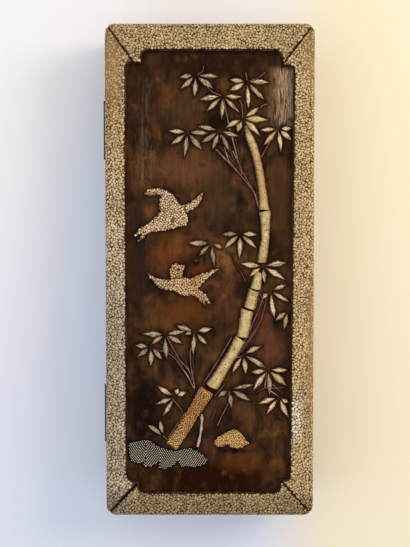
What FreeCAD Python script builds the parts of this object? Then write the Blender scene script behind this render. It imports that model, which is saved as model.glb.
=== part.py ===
"""A long, narrow Japanese writing box (suzuribako) covered in ray skin.

The lid opens on two black butt hinges along one long side. Its raised border frames a sunken lacquer
panel, inlaid in relief with a bamboo culm, leaf sprays, two sparrows, rocks and a mound. The base
holds a fitted board with the inkstone, a water dropper, an ink stick and two brushes on rests.

Millimetres. The origin is the centre of the base's underside, +Z is up, +Y runs along the box towards
the head of the picture, and the hinges are on the -X side.
"""
import FreeCAD, Part
import math
import os
from collections import namedtuple

V = FreeCAD.Vector
UP = V(0, 0, 1)

# ---------------------------------------------------------------- driving dimensions
BOX_LENGTH = 240.0           # along Y
BOX_WIDTH = 101.5            # along X
BOX_HEIGHT = 40.0
SEAM_HEIGHT = 27.0           # top of the base
SEAM_GAP = 0.3               # the shut lid's shadow gap
CORNER_RADIUS = 4.6          # upright corners, over the skin
TOP_ROUNDING = 2.4           # upper outer edge of the lid, over the skin
SKIN = 0.7                   # ray skin thickness
WALL = 5.0                   # carcase walls
FLOOR = 3.0
RIM = 1.5                    # lacquered strip on the edges that meet
SKIN_LIFT = 0.6              # the base's skins stop short of the table

LID_BASE = SEAM_HEIGHT + SEAM_GAP
LID_BOARD_Z = 33.0
LID_BOARD_THICKNESS = 3.2
PANEL_THICKNESS = 1.2
PANEL_TOP = LID_BOARD_Z + LID_BOARD_THICKNESS + PANEL_THICKNESS
LIP_WIDTH = 0.5
LIP_TOP = BOX_HEIGHT - 0.1
LIP_GROOVE = 0.3             # shadow line between the lip and the skin

# The corners of the sunken panel, by the signs of x and y. Its hand-cut outline isn't quite even.
# Each corner is indented to a cusp between a lobe on the panel's end and a lobe on its side. The seam of
# the border meets the opening at the cusp, or shifted from it towards the side.
Corner = namedtuple("Corner", "side_x end_y indent_x indent_y end_radius side_radius seam_width seam_shift")
PANEL_CORNERS = {
    (-1, 1): Corner(-40.5, 106.8, 7.6, 6.0, 3.6, 1.8, 0.8, 3.6),
    (1, 1): Corner(40.6, 106.8, 6.0, 7.5, 3.4, 2.0, 0.8, 0.0),
    (-1, -1): Corner(-40.5, -108.3, 5.6, 5.0, 4.0, 4.6, 1.3, 0.0),
    (1, -1): Corner(39.1, -108.3, 4.65, 6.35, 3.3, 1.8, 0.8, 0.0),
}

# Hinges
HINGE_LENGTH = 29.0
HINGE_CENTRES_Y = (70.2, -71.4)
HINGE_RADIUS = 1.35
HINGE_AXIS_X = -BOX_WIDTH / 2 - 0.75
HINGE_AXIS_Z = SEAM_HEIGHT + SEAM_GAP / 2
KNUCKLES = 5
KNUCKLE_GAP = 0.15
PIN_RADIUS = 0.6
PIN_CLEARANCE = 0.04
LEAF_THICKNESS = 0.8
LEAF_SET = 0.05              # the leaves lie this far below the rims they are let into
LEAF_REACH_X = -46.0         # inner edge of the leaves
KNUCKLE_RELIEF = 0.15
RIM_RELIEF = 0.3
SCREW_X = -47.8
SCREW_PITCH = 9.5
SCREW_LENGTH = 5.4
SCREW_RADIUS = 0.8
SCREW_HEAD_RADIUS = 1.45
SCREW_SLOT = 0.35

# Fitted board and what lies in it
BOARD_TOP = 8.0
BOARD_CLEARANCE = 0.15
BOARD_CORNER = 0.5
BED_CLEARANCE = 0.3
BED_CORNER = 2.0
STONE = (50.0, 114.0, 16.0)
STONE_CENTRE = (17.0, -52.5)
STONE_CORNER = 4.0
STONE_BEVEL = 0.8
STONE_BORDER = 3.5
STONE_WELL_CORNER = 6.0
STONE_LAND_DEPTH = 1.4
STONE_POND_DEPTH = 7.5
STONE_POND_LENGTH = 30.0
STONE_SLOPE_LENGTH = 14.0
DROPPER = (30.0, 42.0, 15.0)
DROPPER_CENTRE = (6.5, 38.0)
DROPPER_CORNER = 5.0
DROPPER_BEVEL = 2.5
DROPPER_WALL = 2.4
DROPPER_HOLES = ((0.0, 4.0, 1.3), (-9.0, 15.0, 0.9))     # x and y from its centre, radius
INK_STICK = (15.0, 74.0, 9.0)
INK_STICK_CENTRE = (34.0, 54.0)
INK_CORNER = 3.5
INK_EDGE = 1.2               # the raised edge round its broad faces
INK_FIELD_CORNER = 2.6
INK_FIELD_DEPTH = 0.5
BRUSH_Z = 17.0
BRUSH_JOINT = 0.42           # the bamboo's joint, as a share of the handle's length
BRUSH_GROOVE = 0.25
BRUSH_BEVEL = 0.5            # at the butt of the handle
BRUSH_SOCKET = 3.0           # depth of the handle's spigot in the ferrule
# Shares of the handle's radius
SPIGOT_SHARE = 0.7
FERRULE_SHARE = 1.08
FERRULE_SHOULDER = 1.0       # length of the ferrule's rounded-in end
TUFT_PROFILE = ((0.86, 0.0), (1.02, 0.25), (0.7, 0.7), (0.08, 1.0))     # share of radius, share of length
BRUSH_REST_Y = (-72.0, 28.0)
BRUSH_REST_THICKNESS = 5.0
BRUSH_REST_SPAN = (-43.0, -15.0)
BRUSH_REST_RISE = 1.2        # its top above the middle of the handles
NOTCH_CLEARANCE = 0.03
# brush name: x, handle radius, handle foot y, handle length, ferrule length, tuft length
BRUSHES = {
    "large_brush": (-35.5, 3.3, -98.0, 148.0, 13.0, 33.0),
    "small_brush": (-23.0, 2.6, -92.0, 150.0, 11.0, 24.0),
}

# ---------------------------------------------------------------- relief inlay
LEAF_WIDTH = 2.7
LEAF_FOOT = 1.6              # a leaf starts this far from the knot of its spray
# A leaf in plan, anticlockwise from its foot: share of its length and of its half width
LEAF_PLAN = ((0.0, 0.0), (0.30, -0.86), (0.58, -1.0), (1.0, 0.0), (0.58, 1.0), (0.30, 0.86))
LEAF_EDGE = 0.35
LEAF_RIDGE = 0.95
TWIG_HEIGHT = 0.7
TWIG_WIDTH = 0.6

# Each spray: knot x, knot y, then the direction in degrees and the reach of every leaf.
SPRAYS = (
    (-6.9, 95.4, (-172, 8.1), (-139, 10.1), (-93, 10.8), (-37, 11.1), (-4, 11.7)),
    (6.2, 85.5, (-170, 11.7), (-136, 11.2), (-93, 11.9), (-44, 11.9), (-2, 9.5)),
    (18.1, 92.2, (172, 8.6), (-155, 9.8), (-87, 13.2), (-46, 12.6), (-2, 11.2)),
    (16.1, 74.5, (35, 9.8), (-3, 12.9), (-45, 12.0), (-112, 7.1), (-151, 9.9)),
    (33.2, 69.7, (-175, 9.0), (-131, 10.8), (-83, 12.3), (-40, 9.3), (2, 6.8)),
    (-10.8, 67.9, (176, 9.4), (-144, 10.2), (-98, 13.0), (-50, 11.7), (-4, 10.1)),
    (4.8, 68.6, (169, 11.4), (-148, 11.0), (-111, 10.0), (-66, 11.7), (-15, 10.1)),
    (14.8, 18.5, (-177, 9.0), (-137, 10.9), (-92, 12.5), (-41, 11.3), (-3, 8.8)),
    (0.8, 14.1, (180, 11.7), (-133, 8.8), (-82, 12.3), (-29, 6.2)),
    (26.0, 2.7, (173, 11.5), (-143, 8.4), (-83, 8.6), (-31, 13.3), (8, 12.1)),
    (29.8, -9.4, (21, 8.2), (-30, 11.1), (-81, 14.0), (-135, 5.8)),
    (38.4, -19.1, (-142, 8.1), (-102, 9.6)),
    (-7.3, -29.4, (162, 9.8), (-161, 5.1), (-94, 11.9), (-46, 9.0), (10, 8.6)),
    (-22.0, -30.8, (178, 11.5), (-143, 8.5), (-86, 12.7), (-28, 10.2), (8, 10.3)),
    (-29.0, -36.7, (176, 7.9), (-143, 8.9), (-90, 9.9), (-49, 9.0)),
    (-17.2, -61.7, (147, 10.4), (-159, 10.6), (-123, 11.4), (65, 4.7), (23, 6.6)),
    (-22.6, -81.3, (144, 10.1), (103, 8.7)),
    (16.4, -40.7, (24, 10.1), (-31, 13.2), (-82, 10.0), (-120, 11.0)),
    (28.7, -48.2, (0, 9.9), (-41, 11.9), (-87, 13.2), (-125, 12.9), (-173, 8.6)),
    (34.0, -61.8, (-162, 11.0), (-125, 10.8), (-63, 11.6), (-26, 5.7)),
    (9.9, -57.8, (-145, 7.5), (-85, 9.9), (-29, 12.3), (11, 12.3)),
)

# Culm pieces from the tip down: centre x, centre y and width across at each station.
CULM_HEIGHT = 1.9
STEM_FACETS = 8              # flats across the half-round back of a culm piece
STEM_FULL_WIDTH = 3.0        # a stem narrower than this is lower too
CAP_SIDES = 14               # flats round a swelling
CAP_RINGS = ((1.0, 0.0), (0.8, 0.5), (0.45, 0.85))       # share of its radius, share of its height
CULM = {
    "culm_1": ((17.6, 70.0, 1.4), (19.3, 65.4, 3.7), (21.1, 61.2, 4.2), (22.6, 56.6, 4.1),
               (24.2, 49.6, 4.1), (25.9, 38.4, 4.2), (26.6, 30.3, 5.3)),
    "culm_2": ((27.0, 28.6, 6.0), (27.2, 23.7, 4.9), (27.2, 16.2, 4.1), (26.1, 8.8, 4.9),
               (25.4, 4.6, 4.6)),
    "culm_3": ((24.1, -1.0, 4.0), (23.4, -3.9, 4.6), (22.4, -8.3, 5.4)),
    "culm_4": ((21.9, -9.8, 5.4), (19.4, -17.8, 5.9)),
    "culm_5": ((18.5, -19.4, 6.3), (17.1, -26.6, 6.0), (16.0, -31.8, 5.9)),
    "culm_6": ((14.8, -33.7, 6.0), (12.5, -38.1, 5.5), (8.5, -44.5, 5.3), (3.9, -52.2, 6.1),
               (1.1, -56.5, 6.7)),
    "culm_foot": ((-1.8, -59.4, 7.4), (-4.8, -64.3, 6.8), (-8.3, -69.9, 5.8), (-13.5, -78.2, 6.1),
                  (-18.4, -84.8, 6.0)),
}
YOUNG_SHOOT_HEIGHT = 0.9
YOUNG_SHOOT = ((-3.9, -70.2, 0.9), (-3.8, -72.4, 1.7), (-3.9, -74.6, 1.0), (-4.1, -77.2, 1.6),
               (-4.5, -80.0, 1.0), (-5.2, -83.4, 1.6), (-6.0, -86.6, 1.2))

TWIGS = (
    ((-5.0, 93.5), (1.3, 87.3), (5.7, 85.5)),
    ((6.7, 84.0), (9.6, 69.9), (12.0, 61.2), (15.7, 47.4)),
    ((3.0, 59.7), (15.7, 46.4), (21.7, 38.9), (23.4, 33.1)),
    ((5.2, 66.7), (9.1, 54.4), (14.9, 47.4)),
    ((11.2, 59.0), (15.7, 49.3), (22.4, 37.4)),
    ((16.1, 74.5), (15.6, 81.1), (14.5, 83.6)),
    ((32.9, 69.4), (28.4, 61.9), (25.0, 55.5)),
    ((-2.9, 99.9), (-3.4, 97.1), (-6.0, 95.8)),
    ((17.5, 96.8), (18.1, 92.8)),
    ((26.8, 96.7), (23.6, 94.2), (19.4, 92.6)),
    ((31.7, 73.4), (33.0, 70.4)),
    ((24.7, 79.6), (25.6, 80.8), (28.0, 81.6)),
    ((37.6, 71.8), (38.4, 73.4), (40.0, 74.0)),
    ((6.7, 10.6), (10.6, 8.8), (12.3, 4.3), (15.6, -0.7), (17.6, -5.0)),
    ((26.4, -12.3), (22.8, -21.7), (19.9, -28.4), (15.4, -37.2)),
    ((28.2, -11.9), (25.4, -23.2), (21.6, -30.1), (16.2, -37.8), (12.0, -43.6)),
    ((-27.7, -38.0), (-20.9, -39.5), (-16.7, -42.9), (-11.0, -50.9), (-7.4, -58.0)),
    ((-7.6, -30.5), (-9.6, -39.5), (-9.3, -46.3), (-7.3, -57.1)),
    ((-21.0, -32.0), (-14.9, -43.2), (-10.2, -48.3)),
    ((-18.4, -62.3), (-13.8, -68.0)),
    ((9.6, -58.6), (9.2, -65.0), (6.2, -70.6), (3.7, -75.9)),
    ((7.6, -54.9), (4.2, -59.2), (2.4, -61.3)),
    ((16.4, -41.0), (13.6, -42.4)),
    ((28.0, -49.0), (27.1, -56.8), (30.8, -59.2), (34.0, -61.4)),
    ((-23.1, -80.6), (-20.6, -83.0)),
    ((10.9, -31.9), (4.6, -42.8), (-2.7, -54.4)),
    ((-11.8, -69.1), (-20.3, -81.6)),
)

# Outlines drawn as strokes: each stroke is a smooth curve, and strokes meet at sharp points.
UPPER_SPARROW = (
    ((-30.1, 39.8), (-27.0, 40.7), (-22.2, 40.0), (-18.7, 38.0), (-15.4, 34.0), (-13.3, 32.3)),
    ((-13.3, 32.3), (-9.7, 33.5), (-6.0, 36.1), (-3.0, 39.4)),
    ((-3.0, 39.4), (-4.1, 35.3), (-6.7, 31.6), (-10.4, 29.4), (-11.7, 28.4)),
    ((-11.7, 28.4), (-10.6, 25.9), (-11.4, 23.0)),
    ((-11.4, 23.0), (-17.2, 21.4), (-23.4, 20.0), (-29.0, 19.2), (-33.0, 16.3), (-35.4, 14.2)),
    ((-35.4, 14.2), (-33.4, 17.5), (-32.2, 19.9)),
    ((-32.2, 19.9), (-34.7, 18.3), (-37.1, 16.9)),
    ((-37.1, 16.9), (-35.4, 19.6), (-33.7, 21.3), (-30.2, 23.3), (-26.2, 26.8), (-23.9, 29.2)),
    ((-23.9, 29.2), (-24.5, 32.0), (-23.2, 37.3)),
    ((-23.2, 37.3), (-26.2, 37.4), (-29.0, 37.0), (-31.8, 38.3)),
    ((-31.8, 38.3), (-30.1, 39.8)),
)
LOWER_SPARROW = (
    ((-31.2, -0.1), (-26.5, -2.8), (-22.7, -3.8), (-18.6, -3.6)),
    ((-18.6, -3.6), (-19.5, -0.7), (-18.5, 2.8), (-16.3, 4.1), (-14.6, 2.9)),
    ((-14.6, 2.9), (-12.0, 3.7)),
    ((-12.0, 3.7), (-13.0, 0.5), (-13.3, -2.2)),
    ((-13.3, -2.2), (-9.2, -3.2), (-4.5, -1.1), (-0.7, -0.2), (1.6, 1.0), (4.5, 1.2)),
    ((4.5, 1.2), (1.8, -0.6), (-0.7, -2.8), (-3.4, -5.4), (-5.9, -8.2)),
    ((-5.9, -8.2), (-1.8, -11.8), (0.7, -15.8)),
    ((0.7, -15.8), (-1.4, -14.8), (-3.0, -13.7)),
    ((-3.0, -13.7), (-1.4, -17.5)),
    ((-1.4, -17.5), (-4.6, -14.0), (-9.0, -11.2)),
    ((-9.0, -11.2), (-14.0, -11.1), (-19.0, -8.9), (-22.4, -8.6), (-26.6, -5.8), (-31.2, -0.1)),
)
ROCK_BANK = (
    ((-39.8, -84.6), (-35.1, -83.2), (-30.3, -83.0), (-24.7, -86.3), (-20.1, -87.6), (-15.4, -88.2),
     (-11.1, -87.1), (-6.4, -88.0), (-3.4, -90.4), (-0.9, -93.0)),
    ((-0.9, -93.0), (-3.0, -95.1), (-8.4, -96.1), (-14.2, -96.2)),
    ((-14.2, -96.2), (-15.3, -92.4)),
    ((-15.3, -92.4), (-18.2, -95.6), (-21.6, -97.0), (-25.4, -96.9)),
    ((-25.4, -96.9), (-24.2, -91.6)),
    ((-24.2, -91.6), (-27.4, -95.2), (-30.2, -96.2), (-32.9, -95.4)),
    ((-32.9, -95.4), (-31.4, -92.4)),
    ((-31.4, -92.4), (-34.6, -94.3), (-38.2, -93.4), (-39.8, -89.2), (-39.8, -84.6)),
)
MOUND = (
    ((2.2, -84.2), (3.4, -82.2), (5.9, -80.4), (9.2, -78.6), (12.4, -77.7), (15.1, -79.2),
     (17.1, -81.8), (19.4, -84.3)),
    ((19.4, -84.3), (17.6, -85.8), (13.1, -86.8), (9.8, -86.0), (9.3, -84.6)),
    ((9.3, -84.6), (6.4, -85.9), (2.7, -85.4), (2.2, -84.2)),
)
SPARROW_EDGE = 0.7
# Rounded caps that swell out of the flat shapes: centre x, centre y, radius in plan, height
UPPER_SPARROW_SWELLS = ((-19.5, 26.0, 11.0, 2.0), (-19.0, 32.0, 6.5, 1.5), (-12.6, 26.4, 4.0, 1.8))
LOWER_SPARROW_SWELLS = ((-15.0, -5.8, 10.5, 2.0), (-16.6, 0.6, 4.6, 1.7))
ROCK_EDGE = 0.6
ROCK_SWELLS = ((-35.4, -88.8, 6.8, 1.9), (-27.6, -90.6, 7.0, 2.0), (-19.0, -92.0, 6.8, 1.9),
               (-9.4, -91.8, 7.6, 1.8))
MOUND_EDGE = 0.5
MOUND_SWELLS = ((12.2, -82.6, 6.6, 2.0), (5.8, -83.2, 4.4, 1.4))
STUD_CENTRE = (-6.6, 5.4)
STUD_RADIUS = 0.75
STUD_HEIGHT = 0.8

# ---------------------------------------------------------------- working values
DIAGONAL = math.sqrt(0.5)
TOUCHING = 1e-6              # points closer than this are one point
OVERSHOOT = 1.0              # a cutter runs this far past the face that it opens
MITRE_OUTSIDE = 10.0         # a mitre's line runs this far past the outer corner
MITRE_INSIDE = 5.0           # and past the cusp of the opening

os.makedirs("parts", exist_ok=True)


# ---------------------------------------------------------------- shape helpers
def save(name, shape):
    """Write one piece, or one group of separate like pieces."""
    solids = shape.Solids
    kept = solids[0] if len(solids) == 1 else Part.makeCompound(solids)
    kept.exportStep("parts/" + name + ".step")


def block(x_range, y_range, z_range):
    size = (x_range[1] - x_range[0], y_range[1] - y_range[0], z_range[1] - z_range[0])
    return Part.makeBox(size[0], size[1], size[2], V(x_range[0], y_range[0], z_range[0]))


def rounded_prism(width, length, radius, z_low, z_high, centre=(0.0, 0.0)):
    """An upright block with rounded corners."""
    box = block((centre[0] - width / 2, centre[0] + width / 2),
                (centre[1] - length / 2, centre[1] + length / 2), (z_low, z_high))
    upright = [edge for edge in box.Edges if abs(edge.tangentAt(edge.FirstParameter).z) > 0.99]
    return box.makeFillet(radius, upright)


def top_edges(shape, z_top):
    """Every edge that lies in the top plane."""
    return [edge for edge in shape.Edges
            if abs(edge.BoundBox.ZMin - z_top) < TOUCHING and abs(edge.BoundBox.ZMax - z_top) < TOUCHING]


def rounded_top(shape, z_top, radius):
    return shape.makeFillet(radius, top_edges(shape, z_top))


def bevelled_top(shape, z_top, width):
    return shape.makeChamfer(width, top_edges(shape, z_top))


def prism(points, z_low, z_high):
    corners = [V(x, y, z_low) for x, y in points]
    face = Part.Face(Part.makePolygon(corners + corners[:1]))
    return face.extrude(UP * (z_high - z_low))


def faceted(loops):
    """A solid closed by flat faces, each given as a loop of corners."""
    faces = [Part.Face(Part.makePolygon(loop + loop[:1])) for loop in loops]
    solid = Part.Solid(Part.Shell(faces))
    return solid if solid.Volume > 0 else solid.reversed()


def strokes_prism(strokes, z_low, z_high):
    """Extrude a closed outline of smooth strokes that meet at sharp points."""
    edges = []
    for stroke in strokes:
        points = [V(x, y, z_low) for x, y in stroke]
        if len(points) == 2:
            edges.append(Part.LineSegment(points[0], points[1]).toShape())
        else:
            curve = Part.BSplineCurve()
            curve.interpolate(points)
            edges.append(curve.toShape())
    return Part.Face(Part.Wire(edges)).extrude(UP * (z_high - z_low))


def turned(profile, centre_x, centre_z, y_low):
    """Revolve (radius, distance) points about a line along Y."""
    points = [V(centre_x + radius, y_low + along, centre_z) for radius, along in profile]
    face = Part.Face(Part.makePolygon(points + points[:1]))
    return face.revolve(V(centre_x, y_low, centre_z), V(0, 1, 0), 360)


# ---------------------------------------------------------------- shared plans
WOOD_WIDTH = BOX_WIDTH - 2 * SKIN
WOOD_LENGTH = BOX_LENGTH - 2 * SKIN
WOOD_RADIUS = CORNER_RADIUS - SKIN
ROOM_WIDTH = WOOD_WIDTH - 2 * WALL
ROOM_LENGTH = WOOD_LENGTH - 2 * WALL
SIDES = {"hinge_side": (-1, 0), "open_side": (1, 0), "head": (0, 1), "foot": (0, -1)}


def outer_plan(z_low, z_high):
    return rounded_prism(BOX_WIDTH, BOX_LENGTH, CORNER_RADIUS, z_low, z_high)


def wood_plan(z_low, z_high):
    return rounded_prism(WOOD_WIDTH, WOOD_LENGTH, WOOD_RADIUS, z_low, z_high)


def room(z_low, z_high):
    return block((-ROOM_WIDTH / 2, ROOM_WIDTH / 2), (-ROOM_LENGTH / 2, ROOM_LENGTH / 2), (z_low, z_high))


def side_sector(side, corner_lines, z_low, z_high):
    """The wedge of plan that belongs to one side, bounded by the mitre lines of its two corners."""
    x_sign, y_sign = SIDES[side]
    if x_sign:
        ends = [(x_sign, 1), (x_sign, -1)]
    else:
        ends = [(1, y_sign), (-1, y_sign)]
    (outer_a, inner_a), (outer_b, inner_b) = (corner_lines[end] for end in ends)
    return prism([outer_a, inner_a, inner_b, outer_b], z_low, z_high)


def extend(start, end, distance):
    """The point beyond end on the line from start."""
    length = math.hypot(end[0] - start[0], end[1] - start[1])
    return tuple(end[i] + (end[i] - start[i]) * distance / length for i in range(2))


def carcase_mitres():
    """Plain 45 degree mitres for the walls."""
    lines = {}
    for x_sign, y_sign in PANEL_CORNERS:
        corner = (x_sign * WOOD_WIDTH / 2, y_sign * WOOD_LENGTH / 2)
        inner = (corner[0] - x_sign * 2 * WALL, corner[1] - y_sign * 2 * WALL)
        lines[(x_sign, y_sign)] = (extend(inner, corner, MITRE_OUTSIDE), inner)
    return lines


def border_mitres():
    """Mitres of the border, from the box corner to where each seam meets the opening."""
    set_back = CORNER_RADIUS * (1 - DIAGONAL)
    lines = {}
    for (x_sign, y_sign), corner in PANEL_CORNERS.items():
        outer = (x_sign * (BOX_WIDTH / 2 - set_back), y_sign * (BOX_LENGTH / 2 - set_back))
        inner = (corner.side_x - x_sign * (corner.indent_x - corner.seam_shift),
                 corner.end_y - y_sign * corner.indent_y)
        lines[(x_sign, y_sign)] = (extend(inner, outer, MITRE_OUTSIDE), extend(outer, inner, MITRE_INSIDE))
    return lines


def opening(grow, z_low, z_high):
    """The panel's outline with its indented corners, grown outwards all round."""
    edges = []
    last = None
    first = None
    for x_sign, y_sign in ((1, 1), (-1, 1), (-1, -1), (1, -1)):
        corner = PANEL_CORNERS[(x_sign, y_sign)]
        end_radius = corner.end_radius + grow
        side_radius = corner.side_radius + grow
        edge_x = corner.side_x + x_sign * grow
        end_y = corner.end_y + y_sign * grow
        cusp_x = edge_x - x_sign * corner.indent_x
        cusp_y = end_y - y_sign * corner.indent_y
        side_centre = (edge_x - x_sign * side_radius, cusp_y - y_sign * side_radius)
        end_centre = (cusp_x - x_sign * end_radius, end_y - y_sign * end_radius)
        path = [
            V(edge_x, side_centre[1], z_low),
            V(side_centre[0] + x_sign * side_radius * DIAGONAL,
              side_centre[1] + y_sign * side_radius * DIAGONAL, z_low),
            V(side_centre[0], cusp_y, z_low),
            V(cusp_x, cusp_y, z_low),
            V(cusp_x, end_centre[1], z_low),
            V(end_centre[0] + x_sign * end_radius * DIAGONAL,
              end_centre[1] + y_sign * end_radius * DIAGONAL, z_low),
            V(end_centre[0], end_y, z_low),
        ]
        if x_sign * y_sign < 0:
            path.reverse()
        if last is not None:
            edges.append(Part.LineSegment(last, path[0]).toShape())
        first = first or path[0]
        edges.append(Part.Arc(path[0], path[1], path[2]).toShape())
        if path[2].distanceToPoint(path[3]) > TOUCHING:
            edges.append(Part.LineSegment(path[2], path[3]).toShape())
        if path[3].distanceToPoint(path[4]) > TOUCHING:
            edges.append(Part.LineSegment(path[3], path[4]).toShape())
        edges.append(Part.Arc(path[4], path[5], path[6]).toShape())
        last = path[6]
    edges.append(Part.LineSegment(last, first).toShape())
    return Part.Face(Part.Wire(edges)).extrude(UP * (z_high - z_low))


# ---------------------------------------------------------------- hinges
def hinge_cylinder(radius, y_low, y_high):
    return Part.makeCylinder(radius, y_high - y_low, V(HINGE_AXIS_X, y_low, HINGE_AXIS_Z), V(0, 1, 0))


def hinge_reach(centre_y):
    return (centre_y - HINGE_LENGTH / 2, centre_y + HINGE_LENGTH / 2)


def knuckle_spans(centre_y, first):
    """Every other knuckle along one hinge, starting with the first or the second."""
    pitch = HINGE_LENGTH / KNUCKLES
    start = hinge_reach(centre_y)[0]
    for index in range(first, KNUCKLES, 2):
        yield (start + index * pitch, start + (index + 1) * pitch)


def leaf_levels(on_lid):
    """Lower and upper face of a leaf, and the face its screws go in from."""
    if on_lid:
        low = LID_BASE + LEAF_SET
        return low, low + LEAF_THICKNESS, low
    top = SEAM_HEIGHT - LEAF_SET
    return top - LEAF_THICKNESS, top, top


def screw_set(on_lid):
    """All the countersunk screws of one leaf on each hinge."""
    seat = leaf_levels(on_lid)[2]
    into_wood = UP if on_lid else -UP
    sink = SCREW_HEAD_RADIUS - SCREW_RADIUS
    screws = []
    for centre_y in HINGE_CENTRES_Y:
        for step in (-1, 0, 1):
            place = V(SCREW_X, centre_y + step * SCREW_PITCH, seat)
            head = Part.makeCone(SCREW_HEAD_RADIUS, SCREW_RADIUS, sink, place, into_wood)
            shank = Part.makeCylinder(SCREW_RADIUS, SCREW_LENGTH, place, into_wood)
            screws.append(head.fuse(shank).removeSplitter())
    return screws


def slotted(screws, on_lid):
    """The screws with a driver slot cut in every head."""
    seat = leaf_levels(on_lid)[2]
    cut = []
    for screw in screws:
        centre_y = screw.BoundBox.Center.y
        slot = block((SCREW_X - SCREW_HEAD_RADIUS, SCREW_X + SCREW_HEAD_RADIUS),
                     (centre_y - SCREW_SLOT / 2, centre_y + SCREW_SLOT / 2),
                     (seat - SCREW_SLOT, seat + SCREW_SLOT))
        cut.append(screw.cut(slot))
    return Part.makeCompound(cut)


def hinge_leaf(centre_y, on_lid, screws):
    """One leaf with its knuckles, cut clear of the other leaf's knuckles."""
    low, high = leaf_levels(on_lid)[:2]
    first = 1 if on_lid else 0
    bore = PIN_RADIUS + (PIN_CLEARANCE if on_lid else 0.0)
    leaf = block((HINGE_AXIS_X, LEAF_REACH_X), hinge_reach(centre_y), (low, high))
    for span in knuckle_spans(centre_y, 1 - first):
        leaf = leaf.cut(hinge_cylinder(HINGE_RADIUS + KNUCKLE_RELIEF, span[0] - KNUCKLE_GAP,
                                       span[1] + KNUCKLE_GAP))
    for span in knuckle_spans(centre_y, first):
        leaf = leaf.fuse(hinge_cylinder(HINGE_RADIUS, span[0], span[1]))
    leaf = leaf.cut(hinge_cylinder(bore, *hinge_reach(centre_y)))
    return max(leaf.cut(screws).removeSplitter().Solids, key=lambda solid: solid.Volume)


def leaf_mortise(centre_y, on_lid):
    """What a rim loses to one leaf and to the barrel beside it."""
    low, high = leaf_levels(on_lid)[:2]
    if on_lid:
        low = LID_BASE
    else:
        high = SEAM_HEIGHT
    y_low, y_high = hinge_reach(centre_y)
    bed = block((-BOX_WIDTH, LEAF_REACH_X), (y_low, y_high), (low, high))
    return bed.fuse(hinge_cylinder(HINGE_RADIUS + RIM_RELIEF, y_low - RIM_RELIEF, y_high + RIM_RELIEF))


# ---------------------------------------------------------------- base
def make_base(screws):
    wall_low = FLOOR
    wall_high = SEAM_HEIGHT - RIM
    save("base_floor", wood_plan(0.0, FLOOR))

    carcase = wood_plan(wall_low, wall_high).cut(room(wall_low, wall_high)).cut(screws)
    covering = outer_plan(SKIN_LIFT, wall_high).cut(wood_plan(SKIN_LIFT, wall_high))
    mitres = carcase_mitres()
    for side in SIDES:
        sector = side_sector(side, mitres, 0.0, SEAM_HEIGHT)
        save("base_wall_" + side, carcase.common(sector))
        save("base_skin_" + side, covering.common(sector))

    rim = outer_plan(wall_high, SEAM_HEIGHT).cut(room(wall_high, SEAM_HEIGHT)).cut(screws)
    for centre_y in HINGE_CENTRES_Y:
        rim = rim.cut(leaf_mortise(centre_y, False))
    save("base_rim", rim)


# ---------------------------------------------------------------- lid
def make_lid(screws):
    wall_low = LID_BASE + RIM
    board_top = LID_BOARD_Z + LID_BOARD_THICKNESS
    rail_top = BOX_HEIGHT - SKIN

    rim = outer_plan(LID_BASE, wall_low).cut(room(LID_BASE, wall_low)).cut(screws)
    for centre_y in HINGE_CENTRES_Y:
        rim = rim.cut(leaf_mortise(centre_y, True))
    save("lid_rim", rim)
    save("lid_board", wood_plan(LID_BOARD_Z, board_top))

    walls = wood_plan(wall_low, LID_BOARD_Z).cut(room(wall_low, LID_BOARD_Z)).cut(screws)
    wall_mitres = carcase_mitres()
    framed = opening(LIP_WIDTH, board_top, BOX_HEIGHT)
    skin_edge = opening(LIP_WIDTH + LIP_GROOVE, board_top, BOX_HEIGHT)
    rails = rounded_top(wood_plan(board_top, rail_top), rail_top, TOP_ROUNDING - SKIN).cut(framed)
    covering = rounded_top(outer_plan(wall_low, BOX_HEIGHT), BOX_HEIGHT, TOP_ROUNDING)
    covering = covering.cut(rounded_top(wood_plan(wall_low, rail_top), rail_top, TOP_ROUNDING - SKIN))
    covering = covering.cut(skin_edge)
    mitres = border_mitres()
    for corner, (outer, inner) in mitres.items():
        covering = covering.cut(seam(outer, inner, PANEL_CORNERS[corner].seam_width, wall_low, BOX_HEIGHT))
    for side in SIDES:
        save("lid_wall_" + side, walls.common(side_sector(side, wall_mitres, wall_low, LID_BOARD_Z)))
        sector = side_sector(side, mitres, wall_low, BOX_HEIGHT)
        save("lid_rail_" + side, rails.common(sector))
        save("lid_skin_" + side, covering.common(sector))

    save("lid_panel", opening(LIP_WIDTH, board_top, PANEL_TOP))
    lip = opening(LIP_WIDTH, PANEL_TOP, LIP_TOP).cut(opening(0.0, PANEL_TOP, LIP_TOP))
    save("panel_lip", lip)


def seam(outer, inner, width, z_low, z_high):
    """The open joint between two lengths of skin."""
    run = (inner[0] - outer[0], inner[1] - outer[1])
    length = math.hypot(run[0], run[1])
    across = (-run[1] / length * width / 2, run[0] / length * width / 2)
    corners = [(outer[0] + across[0], outer[1] + across[1]), (inner[0] + across[0], inner[1] + across[1]),
               (inner[0] - across[0], inner[1] - across[1]), (outer[0] - across[0], outer[1] - across[1])]
    return prism(corners, z_low, z_high)


# ---------------------------------------------------------------- relief inlay
def leaf_outline(knot, angle, reach):
    """Foot, shoulders, and tip of one leaf, anticlockwise."""
    direction = math.radians(angle)
    along = (math.cos(direction), math.sin(direction))
    points = []
    for length_share, width_share in LEAF_PLAN:
        distance = LEAF_FOOT + length_share * (reach - LEAF_FOOT)
        side = width_share * LEAF_WIDTH / 2
        points.append((knot[0] + along[0] * distance - along[1] * side,
                       knot[1] + along[1] * distance + along[0] * side))
    return points


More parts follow.
